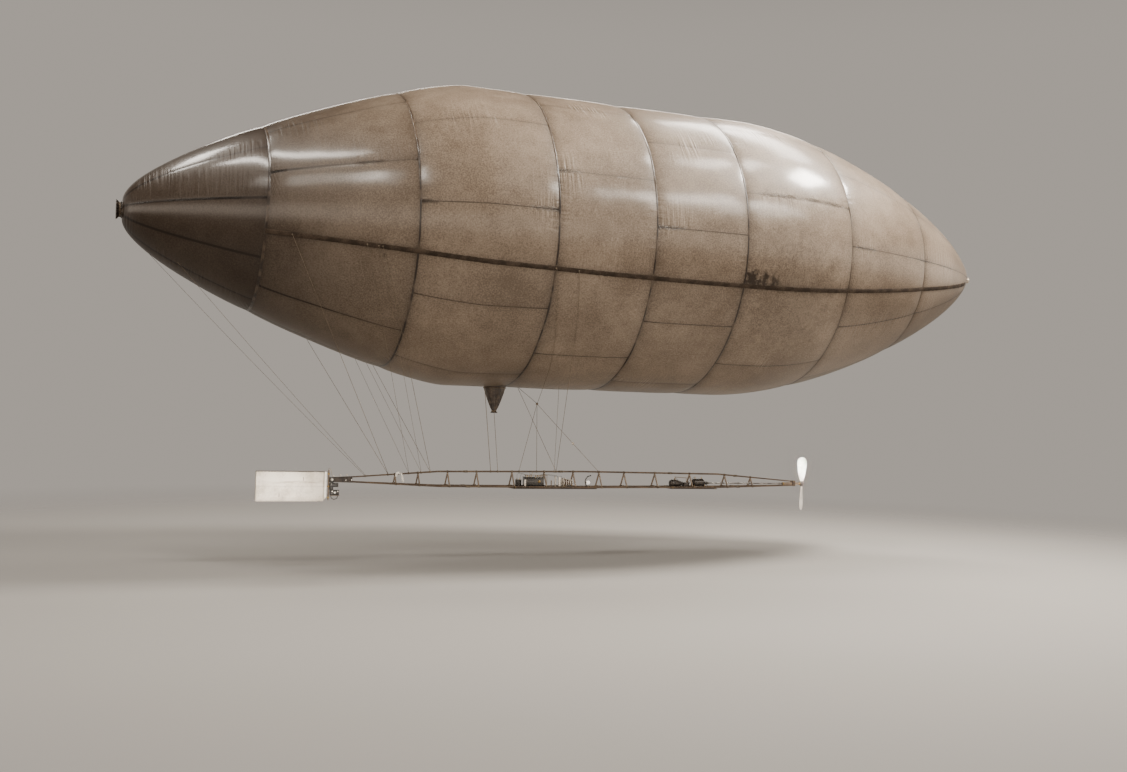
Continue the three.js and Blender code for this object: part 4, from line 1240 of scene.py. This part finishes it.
# Stern gear
# A dark block and a wrapping of tape close the frame's stern. It carries three porcelain studs, two
# terminals, a knob and the steering motor, hung on a bracket with a wire hoop below it.
black_paint = metal_surface(
    "black_paint", (0.006, 0.005, 0.004, 1), (0.034, 0.027, 0.021, 1), 34.0, 0.46, 0.1, 0.3,
)
tape_black, wire, shader = new_surface("black_tape")
wound = here(wire).vector("MULTIPLY", (1.0, 0.12, 0.25))
turns = (here(wire).part(0) * 700.0).sine() * 0.5 + 0.5
grime = grains(wire, 60.0, 3.0, wound)
colour = (grime * 0.8 + turns * 0.2).between(0.3, 0.8).mix((0.010, 0.007, 0.005, 1), (0.070, 0.050, 0.036, 1))
relief = turns * 0.6 + grime * 0.5
close_surface(wire, shader, colour, 0.5, relief, 0.0008, Coat_Weight=0.3, Coat_Roughness=0.25)
nickel = metal_surface("nickel", (0.420, 0.400, 0.370, 1), (0.860, 0.840, 0.800, 1), 30.0, 0.30, 0.9, 0.2)
WRAP_ENDS = (-2.0848, -1.952)
rings = []
for x in np.linspace(*WRAP_ENDS, 20):
    top, bottom, half = frame_at(x)
    corners = [Vector((x, 0, top)), Vector((x, half, bottom)), Vector((x, -half, bottom))]
    swell = 0.0005 + 0.0025 * (WRAP_ENDS[1] - x) / (WRAP_ENDS[1] - WRAP_ENDS[0])
    ring = []
    for k in range(30):
        turn = 2 * math.pi * k / 30
        way = Vector((0, math.sin(turn), math.cos(turn)))
        reach = max(corners, key=lambda p: p.dot(way))
        ring.append(reach + way * (0.0052 + swell))
    rings.append(ring)
made("stern_wrapping", [skin(rings)], tape_black, "tape")


def case(low, high, edge=0.0015, segments=2):
    """A box between two opposite corners, with rounded edges"""
    form = bmesh.new()
    bmesh.ops.create_cube(form, size=1.0)
    for corner in form.verts:
        corner.co = Vector([(a + b) / 2 + c * (b - a) for a, b, c in zip(low, high, corner.co)])
    bmesh.ops.bevel(form, geom=form.edges[:], offset=edge, segments=segments, profile=0.5, affect="EDGES")
    points = [corner.co.copy() for corner in form.verts]
    form.verts.index_update()
    faces = [[corner.index for corner in face.verts] for face in form.faces]
    form.free()
    return points, faces


low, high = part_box("stern_block")
made("stern_block_case", [case(low, high, 0.002)], black_paint, "iron", "stern_block")
stud = [
    (0, 0), (0, 0.0045), (0.003, 0.0045), (0.0035, 0.0062), (0.007, 0.0066), (0.010, 0.0052),
    (0.0115, 0.0030), (0.012, 0),
]
studs = []
for x, height in ((-2.089, -1.8210), (-2.038, -1.8150), (-1.990, -1.8125)):
    studs.append(turned(stud, (x, 0, height), (0, 0, 1), 20))
made("stern_studs", studs, porcelain, "lamp_glass")
nut_rows = [(0, 0), (0, 0.006), (0.002, 0.006), (0.0025, 0.004), (0.007, 0.004), (0.0075, 0.003), (0.0075, 0)]
terminals = []
for x in (-2.004, -1.962):
    top, bottom, half = frame_at(x)
    terminals.append(turned(nut_rows, (x, -half - 0.0060, (top + bottom) / 2 - 0.004), (0, -1, 0.3), 16))
knob_rows = [(0, 0), (0, 0.0095), (0.004, 0.0095), (0.005, 0.007), (0.012, 0.007), (0.013, 0.005), (0.013, 0)]
terminals.append(turned(knob_rows, (-2.103, -0.0180, -1.8425), (0, -1, 0), 20))
made("stern_terminals", terminals, nickel, "brass")
STERN_WIRE = [
    (-2.124, 0, -1.7730), (-2.127, 0, -1.7650), (-2.122, 0, -1.7600), (-2.112, 0, -1.7660),
    (-2.106, 0, -1.7830), (-2.105, 0, -1.8010), (-2.106, 0, -1.8110),
]
made("stern_wire", [round_bar(smooth_rows(STERN_WIRE, 5), 0.0009, 8)], brass, "brass")
low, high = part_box("steering_motor")
HANGER_FOOT = -1.917
hanger = case((-2.110, -0.008, HANGER_FOOT - 0.003), (-2.090, 0.008, -1.8623), 0.0015)
bracket = case((-2.116, -0.016, -1.8960), (-2.054, 0.016, -1.8665), 0.003)
yoke = case((-2.117, -0.012, -1.9170), (-2.112, 0.012, -1.8700), 0.001)
body = case((low.x, low.y, low.z), (high.x, high.y, HANGER_FOOT), 0.004, 3)
made("steering_motor_case", [hanger, bracket, yoke, body], black_paint, "iron", "steering_motor")
front = low.y - 0.0002
middle = ((low.x + high.x) / 2, front, (low.z + HANGER_FOOT) / 2)
rim_rows = [(0, 0), (0, 0.013), (0.0015, 0.0145), (0.003, 0.0145), (0.004, 0.012), (0.004, 0)]
made("steering_motor_dial", [turned(rim_rows, middle, (0, -1, 0), 28)], black_paint, "iron")
cap_rows = [(0.004, 0), (0.004, 0.0085), (0.0055, 0.0085), (0.0065, 0.0070), (0.0065, 0)]
stem_rows = [(0, 0), (0, 0.0035), (0.006, 0.0035), (0.0065, 0.005), (0.010, 0.005), (0.0105, 0)]
fittings = [turned(cap_rows, middle, (0, -1, 0), 24)]
for x in (low.x + 0.012, high.x - 0.012):
    fittings.append(turned(stem_rows, (x, front, HANGER_FOOT - 0.009), (0, -1, 0), 14))
made("steering_motor_fittings", fittings, nickel, "brass")
ledge_low = (low.x - 0.002, low.y - 0.004, low.z - 0.0032)
ledge_high = (high.x + 0.003, high.y + 0.004, low.z - 0.0004)
made("steering_motor_ledge", [case(ledge_low, ledge_high, 0.0008)], pale_ash, "wood")
finish(black_paint, "steering_hoop")

# Receiver board
# A dark board clipped under the bottom poles carries the wireless receiver in its box, a relay in a drum,
# four wound coils between pale cheeks on a spindle, and slips of white fibre that hold the terminals apart.
ebonite = metal_surface("ebonite", (0.005, 0.004, 0.003, 1), (0.024, 0.019, 0.015, 1), 26.0, 0.34, 0.0, 0.4)
finish(ebony, "receiver_board", "motor_board")
clip_arc = [Vector((0, 0.0084 * math.cos(t), 0.0084 * math.sin(t))) for t in np.linspace(0, math.pi, 13)]
clip_path = [Vector((0, 0.0160, -0.0064)), Vector((0, 0.0090, -0.0064)), *clip_arc]
clip_path += [Vector((0, -0.0090, -0.0064)), Vector((0, -0.0160, -0.0064))]
clip = round_bar(clip_path, 0.0012, 8)
clips = []
board_screws = []
for node in ("receiver_board", "motor_board"):
    low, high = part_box(node)
    for x in (low.x + 0.014, high.x - 0.014):
        half = frame_at(x)[2]
        for side in (-1, 1):
            clips.append(((x, side * half, frame_at(x)[1]), (0, 0, 1), (1, 0, 0), 1.0))
            board_screws.append(((x, side * (half + 0.0115), high.z), (0, 0, 1), (1, 0, 0), 1.2))
            board_screws.append(((x, side * (half - 0.0145), high.z), (0, 0, 1), (1, 0, 0), 1.2))
set_out("board_clips", clip, clips, brass)
set_out("board_screws", pin, board_screws, brass)
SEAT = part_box("receiver_box")[0].z


def upright(x, y, foot, height, radius):
    """A terminal: a threaded post with a knurled nut"""
    rows = [
        (0, 0), (0, radius * 1.7), (radius * 0.8, radius * 1.7), (radius * 0.9, radius),
        (height * 0.55, radius), (height * 0.56, radius * 1.9), (height * 0.78, radius * 2.0),
        (height * 0.80, radius), (height, radius), (height, 0),
    ]
    return turned(rows, (x, y, foot), sides=20)


low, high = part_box("relay_drum")
drum_x, drum_r = (low.x + high.x) / 2, (high.x - low.x) / 2
wall, ridge = drum_r - 0.0025, drum_r - 0.0013
drum_rows = [(0, 0), (0, drum_r), (0.004, drum_r), (0.005, wall)]
for rib in np.arange(0.009, 0.052, 0.0055):
    drum_rows += [(rib, wall), (rib + 0.0008, ridge), (rib + 0.0022, ridge), (rib + 0.003, wall)]
drum_rows += [(0.056, wall), (0.057, drum_r), (0.061, drum_r), (0.062, drum_r - 0.001), (0.062, 0)]
drum = turned(drum_rows, (drum_x, 0, SEAT), sides=48)
made("relay_case", [drum], ebonite, "iron", "relay_drum")
low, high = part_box("receiver_box")
body = case((low.x + 0.002, low.y + 0.002, SEAT), (high.x - 0.002, high.y - 0.002, high.z - 0.009), 0.002)
lid = case((low.x, low.y, high.z - 0.0085), (high.x, high.y, high.z), 0.0025, 3)
skirt = case((low.x, low.y, SEAT), (high.x, high.y, SEAT + 0.007), 0.0015)
hatch_low = (low.x + 0.016, low.y - 0.0002, SEAT + 0.018)
hatch = case(hatch_low, (low.x + 0.060, low.y + 0.004, SEAT + 0.062), 0.001)
made("receiver_case", [body, lid, skirt, hatch], ebonite, "iron", "receiver_box")
brass_bits = []
for x in (low.x + 0.020, low.x + 0.050, high.x - 0.050, high.x - 0.020):
    for y in (-0.020, 0.020):
        brass_bits.append(upright(x, y, high.z, 0.013, 0.0022))
brass_bits += [upright(drum_x + dx, 0.0, SEAT + 0.062, 0.012, 0.0022) for dx in (-0.012, 0.012)]
dial = [(0, 0), (0, 0.0105), (0.002, 0.0105), (0.003, 0.0075), (0.009, 0.0070), (0.010, 0.0055), (0.010, 0)]
brass_bits.append(turned(dial, (-0.494, low.y + 0.002, -1.846), (0, -1, 0), 28))
case_screws = []
for x in (low.x + 0.006, (low.x + high.x) / 2, high.x - 0.006):
    for side, y in ((-1, low.y), (1, high.y)):
        case_screws.append(((x, y, high.z - 0.0045), (0, side, 0), (1, 0, 0), 0.9))
        case_screws.append(((x, y, SEAT + 0.0035), (0, side, 0), (1, 0, 0), 0.9))
set_out("receiver_screws", pin, case_screws, brass)
fibre, wire, shader = new_surface("white_fibre")
layers = grains(wire, 1.0, 3.0, here(wire).vector("MULTIPLY", (40.0, 40.0, 260.0)))
smudge = (grains(wire, 30.0, 3.0) * 0.7 + layers * 0.3).between(0.3, 0.62)
colour = smudge.mix((0.46, 0.40, 0.33, 1), (0.82, 0.77, 0.69, 1))
close_surface(wire, shader, colour, 0.5, layers, 0.0003, Coat_Weight=0.2, Coat_Roughness=0.3)
slips = [
    case((-0.6205, -0.056, SEAT), (-0.6085, -0.044, SEAT + 0.064), 0.0012),
    case((-0.3310, -0.050, SEAT), (-0.3200, -0.036, SEAT + 0.086), 0.0012),
    case((-0.3310, 0.036, SEAT), (-0.3200, 0.050, SEAT + 0.086), 0.0012),
]
made("fibre_slips", slips, fibre, "lamp_glass")
TOP = high.z + 0.0135
rail = round_bar([(low.x - 0.004, -0.020, TOP), (high.x + 0.034, -0.020, TOP)], 0.0024, 12)
stand = round_bar([(-0.385, -0.020, SEAT), (-0.385, -0.020, SEAT + 0.058)], 0.0042, 16)
rail_foot = round_bar([(high.x + 0.030, -0.020, SEAT), (high.x + 0.030, -0.020, TOP)], 0.0020)
made("receiver_rail", [rail, stand, rail_foot], pale_ash, "wood")
copper, wire, shader = new_surface("wound_wire")
layer = (here(wire).part(2) * 5200.0).sine() * 0.5 + 0.5
dull = grains(wire, 80.0, 3.0)
colour = (dull * 0.7 + layer * 0.3).between(0.3, 0.75).mix((0.024, 0.013, 0.008, 1), (0.150, 0.092, 0.056, 1))
close_surface(wire, shader, colour, 0.38, layer, 0.0004, Metallic=0.35, Coat_Weight=0.4, Coat_Roughness=0.2)
# Columns: place along the board, radius of the pale cheek, radius of the winding forward of it
SPOOLS = [
    (-0.2840, 0.0385, 0.0290), (-0.2640, 0.0385, 0.0270), (-0.2440, 0.0290, 0.0180),
    (-0.2270, 0.0290, 0.0180), (-0.2110, 0.0290, 0.0),
]
SPINDLE_RISE = 0.0392
CHEEK = 0.0042
spindle_z = SEAT + SPINDLE_RISE
windings = []
cheeks = []
for (x, cheek, wound), after in zip(SPOOLS, [*SPOOLS[1:], None]):
    edge = cheek - 0.001
    rows = [(0, 0), (0, edge), (0.001, cheek), (CHEEK - 0.001, cheek), (CHEEK, edge), (CHEEK, 0)]
    cheeks.append(turned(rows, (x, 0, spindle_z), (1, 0, 0), 40))
    if after:
        end = after[0] - x + 0.0005
        rows = [(0.0030, 0), (0.0030, wound), (end, wound), (end, 0)]
        windings.append(turned(rows, (x, 0, spindle_z), (1, 0, 0), 40))
spindle = round_bar([(-0.2895, 0, spindle_z), (-0.2035, 0, spindle_z)], 0.0034, 14)
for x in (-0.2880, -0.2065):
    cheeks.append(case((x - 0.0016, -0.010, SEAT + 0.010), (x + 0.0016, 0.010, spindle_z + 0.008), 0.0008))
low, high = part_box("coil_stack")
coil_base = case((low.x, low.y, SEAT), (high.x, high.y, SEAT + 0.0138), 0.002)
coil_posts = [(x, y) for x in (low.x + 0.010, high.x - 0.010) for y in (-0.032, 0.032)]
brass_bits += [upright(x, y, SEAT + 0.0136, 0.012, 0.0020) for x, y in coil_posts]
made("coil_windings", windings, copper, "brass", "coil_stack")
made("coil_cheeks", cheeks, fibre, "lamp_glass")
made("coil_base", [coil_base, spindle], ebonite, "iron")
made("receiver_terminals", brass_bits, brass, "brass")


def leads(name, routes):
    """Stiff insulated wires, each bent from one terminal to another"""
    made(name, [round_bar(smooth_rows(route, 6), 0.0009, 8) for route in routes], ebonite, "iron")


SLIP_TOP = SEAT + 0.088
starboard_slip, port_slip = (-0.3255, -0.043, SLIP_TOP), (-0.3255, 0.043, SLIP_TOP)
coil_leads = []
for slip, side in ((starboard_slip, -1), (port_slip, 1)):
    bends = [(-0.313, 0.046 * side, SEAT + 0.092), (-0.296, 0.044 * side, SEAT + 0.050)]
    coil_leads.append([slip, *bends, (-0.280, 0.032 * side, SEAT + 0.024)])
leads("receiver_leads", [
    [(-0.640, 0, SEAT + 0.070), (-0.630, -0.006, TOP + 0.006), (-0.600, -0.016, TOP + 0.004),
     (-0.584, -0.020, TOP - 0.006)],
    [(-0.664, 0, SEAT + 0.070), (-0.655, 0.010, TOP + 0.008), (-0.610, 0.020, TOP + 0.008),
     (-0.584, 0.020, TOP - 0.006)],
    [(-0.472, 0.020, TOP - 0.006), (-0.440, 0.024, TOP + 0.006), (-0.350, 0.030, TOP - 0.002), port_slip],
    [(-0.502, -0.020, TOP - 0.006), (-0.450, -0.034, TOP + 0.004), (-0.360, -0.040, TOP - 0.006),
     starboard_slip],
    *coil_leads,
    [(-0.216, -0.032, SEAT + 0.024), (-0.204, -0.034, SEAT + 0.040), (-0.186, -0.034, SEAT + 0.026),
     (-0.176, -0.032, SEAT + 0.002)],
])
loop = coil((-0.549, 0, -1.7800), (0, 1, 0), 0.0125, 1, 0.002, 0.0013, 8, 32)
made("pole_ring", [loop], brass, "brass")

# Lamp
# An opal glass globe in a brass holder sits in the crook of a bent iron pipe, which stands on a flange at the
# fore end of the receiver board.
# Columns: station, height above the board
PIPE_ROUTE = [
    (-0.070, 0.0), (-0.070, 0.008), (-0.084, 0.030), (-0.087, 0.058), (-0.070, 0.086), (-0.044, 0.096),
]
GLOBE_X, GLOBE_RISE, GLOBE_RADIUS = -0.0638, 0.040, 0.017
route = [(x, 0.0, SEAT + rise) for x, rise in PIPE_ROUTE]
pipe = round_bar(smooth_rows(route, 6), 0.0039, 16)
flange = turned([(0, 0), (0, 0.013), (0.002, 0.013), (0.003, 0.010), (0.003, 0)], route[0], sides=28)
lip = turned([(-0.001, 0), (-0.001, 0.0052), (0.004, 0.0052), (0.004, 0)], route[-1], (0.93, 0, 0.36), 20)
made("lamp_bracket", [pipe, flange, lip], black_paint, "iron", "lamp_pipe")
opal, wire, shader = new_surface("opal_glass")
milk = grains(wire, 50.0, 3.0)
colour = milk.between(0.3, 0.7).mix((0.84, 0.80, 0.73, 1), (0.97, 0.95, 0.92, 1))
# Painted highlight: the glass is given a faint glow so that it reads bright, as if catching the light.
close_surface(
    wire, shader, colour, milk * 0.1 + 0.08, milk, 0.0001, Coat_Weight=0.9, Coat_Roughness=0.05,
    Emission_Color=(1.0, 0.94, 0.86, 1), Emission_Strength=0.75,
)
globe_rows = [(-GLOBE_RADIUS * math.cos(t), GLOBE_RADIUS * math.sin(t)) for t in np.linspace(0, math.pi, 33)]
globe_rows[0] = (-GLOBE_RADIUS, 0.0)
globe_rows[-1] = (GLOBE_RADIUS, 0.0)
globe = turned(globe_rows, (GLOBE_X, 0, SEAT + GLOBE_RISE), (1, 0, 0.15), 48)
made("lamp_globe_glass", [globe], opal, "lamp_glass", "lamp_globe")
holder_rows = [
    (-0.0205, 0), (-0.0205, 0.0062), (-0.0155, 0.0072), (-0.0135, 0.0085), (-0.0125, 0.0095), (-0.0125, 0),
]
holder = turned(holder_rows, (GLOBE_X, 0, SEAT + GLOBE_RISE), (1, 0, 0), 28)
made("lamp_holder", [holder], brass, "brass")

# Motor board
# The motor turns the propeller's shaft through a coupling. Aft of it stand its gear box and a magneto shaped
# like a pear in a cast cradle.
MOTOR_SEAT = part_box("gear_box")[0].z
cast = metal_surface("cast_iron", (0.010, 0.008, 0.007, 1), (0.085, 0.070, 0.056, 1), 70.0, 0.48, 0.35, 0.2)
MAGNETO_AXIS = MOTOR_SEAT + 0.034
PEAR_ROWS = [
    (0.660, 0.0), (0.6605, 0.012), (0.666, 0.0275), (0.682, 0.0335), (0.705, 0.0325), (0.730, 0.0275),
    (0.752, 0.0185), (0.7680, 0.0140), (0.771, 0.0115), (0.771, 0.0),
]
NOZZLE_ROWS = [(0.769, 0), (0.769, 0.0100), (0.777, 0.0090), (0.7785, 0.0070), (0.7785, 0)]
cast_rows = [(smooth_rows(PEAR_ROWS, 4), 56), (NOZZLE_ROWS, 28)]
for x, r in ((0.688, 0.0335), (0.722, 0.0300)):
    proud = r + 0.0008
    hoop = [(x, 0), (x, r), (x + 0.001, proud), (x + 0.005, proud), (x + 0.006, r), (x + 0.006, 0)]
    cast_rows.append((hoop, 56))
magneto = [turned(rows, (0, 0, MAGNETO_AXIS), (1, 0, 0), sides) for rows, sides in cast_rows]
magneto.append(case((0.674, -0.030, MOTOR_SEAT), (0.742, 0.030, MOTOR_SEAT + 0.012), 0.003))
made("magneto_case", magneto, cast, "iron", "magneto")
low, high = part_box("gear_box")
brim = Vector((0.0015, 0.0015, 0))
lid_low, lid_high = Vector((low.x, low.y, high.z - 0.012)), Vector((high.x, high.y, high.z - 0.008))
boss_rows = [(0, 0), (0, 0.011), (0.004, 0.011), (0.006, 0.008), (0.012, 0.008), (0.012, 0)]
boss = turned(boss_rows, (high.x, 0, SHAFT_Z), (1, 0, 0), 28)
gear_shapes = [case(low, high, 0.003, 3), case(lid_low - brim, lid_high + brim, 0.001), boss]
made("gear_case", gear_shapes, cast, "iron", "gear_box")
MOTOR_RADIUS = 0.036
MOTOR_WAIST = 0.0345
shell_rows = [
    (0.8680, 0), (0.8680, 0.020), (0.8720, 0.0300), (0.8790, MOTOR_WAIST), (0.8800, MOTOR_RADIUS),
    (0.8850, MOTOR_RADIUS), (0.8855, MOTOR_WAIST),
]
for x in np.arange(0.889, 0.950, 0.0060):
    shell_rows += [(x, MOTOR_WAIST), (x + 0.0010, 0.0356), (x + 0.0030, 0.0356), (x + 0.0040, MOTOR_WAIST)]
shell_rows += [
    (0.9545, MOTOR_WAIST), (0.9550, MOTOR_RADIUS), (0.9600, MOTOR_RADIUS), (0.9610, MOTOR_WAIST),
    (0.9680, 0.0300), (0.9720, 0.0200), (0.9720, 0.0120), (0.9855, 0.0115), (0.9860, 0.0100), (0.9860, 0),
]
motor = [turned(shell_rows, (0, 0, SHAFT_Z), (1, 0, 0), 64)]
motor.append(case((0.862, -0.034, MOTOR_SEAT), (0.978, 0.034, MOTOR_SEAT + 0.016), 0.003, 3))
for x in (0.884, 0.946):
    motor.append(case((x, -0.026, MOTOR_SEAT + 0.010), (x + 0.010, 0.026, SHAFT_Z - 0.006), 0.002))
made("motor_case", motor, cast, "iron", "drive_motor")
stud_rows = [(0, 0), (0, 0.003), (0.003, 0.003), (0.004, 0.002), (0.004, 0)]
motor_bits = []
for x in (0.893, 0.951):
    motor_bits.append(upright(x, 0.0, SHAFT_Z + 0.0350, 0.015, 0.0024))
for x, y in ((0.872, -0.026), (0.968, -0.026), (0.872, 0.026), (0.968, 0.026)):
    motor_bits.append(upright(x, y, MOTOR_SEAT + 0.0155, 0.010, 0.0028))
for x in (0.904, 1.035):
    motor_bits.append(turned(stud_rows, (x, -0.0742, MOTOR_SEAT - 0.0035), (0, -1, 0), 20))
motor_bits.append(upright(0.706, 0.0, MAGNETO_AXIS + 0.0330, 0.013, 0.0024))
made("motor_terminals", motor_bits, brass, "brass")
gear_bolts = []
for x in (low.x + 0.006, high.x - 0.006):
    for y in (low.y + 0.006, high.y - 0.006):
        gear_bolts.append(((x, y, high.z + 0.0008), (0, 0, 1), (1, 0, 0), 1.0))
for k in range(6):
    t = 2 * math.pi * (k + 0.5) / 6
    y, z = 0.0305 * math.cos(t), SHAFT_Z + 0.0305 * math.sin(t)
    for x, way in ((0.8795, -1), (0.9605, 1)):
        gear_bolts.append(((x, y, z), (way, 0, 0), (0, 1, 0), 0.8))
set_out("motor_bolts", hex_head, gear_bolts, steel)
guide = [round_bar([(0.706, 0, -1.8040), (0.819, 0, -1.8110)], 0.0028, 12)]
for x, foot, head in ((0.712, MAGNETO_AXIS + 0.032, -1.8044), (0.812, high.z - 0.001, -1.8106)):
    guide.append(round_bar([(x, 0, foot), (x, 0, head)], 0.0020))
made("guide_rod", guide, pale_ash, "wood")
coupling_rows = [
    (-0.005, 0), (-0.005, 0.0135), (-0.004, 0.0145), (-0.001, 0.0145), (0, 0.0125), (0.001, 0.0145),
    (0.004, 0.0145), (0.005, 0.0135), (0.005, 0),
]
coupling = turned(coupling_rows, (0.9975, 0, SHAFT_Z), (1, 0, 0), 36)
made("shaft_coupling", [coupling], steel, "iron", body="propeller")
leads("motor_leads", [
    [(0.893, 0, SHAFT_Z + 0.044), (0.885, -0.008, SHAFT_Z + 0.052), (0.850, -0.010, SHAFT_Z + 0.030),
     (0.822, -0.012, MOTOR_SEAT + 0.048)],
    [(0.706, 0, MAGNETO_AXIS + 0.040), (0.722, 0.010, MAGNETO_AXIS + 0.042),
     (0.760, 0.014, MAGNETO_AXIS + 0.020), (0.790, 0.014, MOTOR_SEAT + 0.046)],
])

# Cloth marker
# A strip of white rag is knotted round the top pole near the stern. One end stands in a loop and the other
# hangs down.
RAG_WIDTH = 0.017
RAG_ROUTE = [
    (-1.6215, -0.011, -1.8190), (-1.6235, -0.016, -1.8060), (-1.6190, -0.017, -1.7930),
    (-1.6090, -0.014, -1.7860), (-1.6000, -0.0105, -1.7885), (-1.5930, -0.0110, -1.7900),
    (-1.5860, -0.013, -1.7960), (-1.5800, -0.014, -1.8120), (-1.5760, -0.012, -1.8300),
    (-1.5705, -0.013, -1.8480), (-1.5690, -0.016, -1.8560),
]
KNOT_X = -1.5965
rag_cloth = woven("rag_cloth", 60.0, 700.0, (0.52, 0.48, 0.42, 1), (0.88, 0.86, 0.81, 1), 0.85)
route = [Vector(p) for p in smooth_rows(RAG_ROUTE, 6)]
form = bmesh.new()
strips = []
for i, (p, (along, _, _)) in enumerate(zip(route, axis_frame(route))):
    side = along.cross(Vector((0, 1, 0))).normalized()
    lean = Vector((0, 1, 0)) * 0.45
    pinch = 0.40 + 0.60 * min(1.0, abs(p.x - KNOT_X) / 0.014)
    row = []
    for k in range(9):
        across = (k - 4) / 4
        fold = Vector((0, 0.0022 * math.sin(across * 5.0 + i * 0.12), 0))
        row.append(form.verts.new(p + (side + lean).normalized() * across * pinch * RAG_WIDTH / 2 + fold))
    strips.append(row)
for before, after in zip(strips, strips[1:]):
    for k in range(8):
        form.faces.new((before[k], before[k + 1], after[k + 1], after[k]))
rag = thin_cloth("rag_marker", form, rag_cloth, 0.0005, -1.0, "airship")
knot_shape = knotted((KNOT_X, -0.0095, frame_at(KNOT_X)[0] + 0.004), 0.0085, 3.1)
knot = made("rag_knot", [knot_shape], rag_cloth, "panel_cloth")
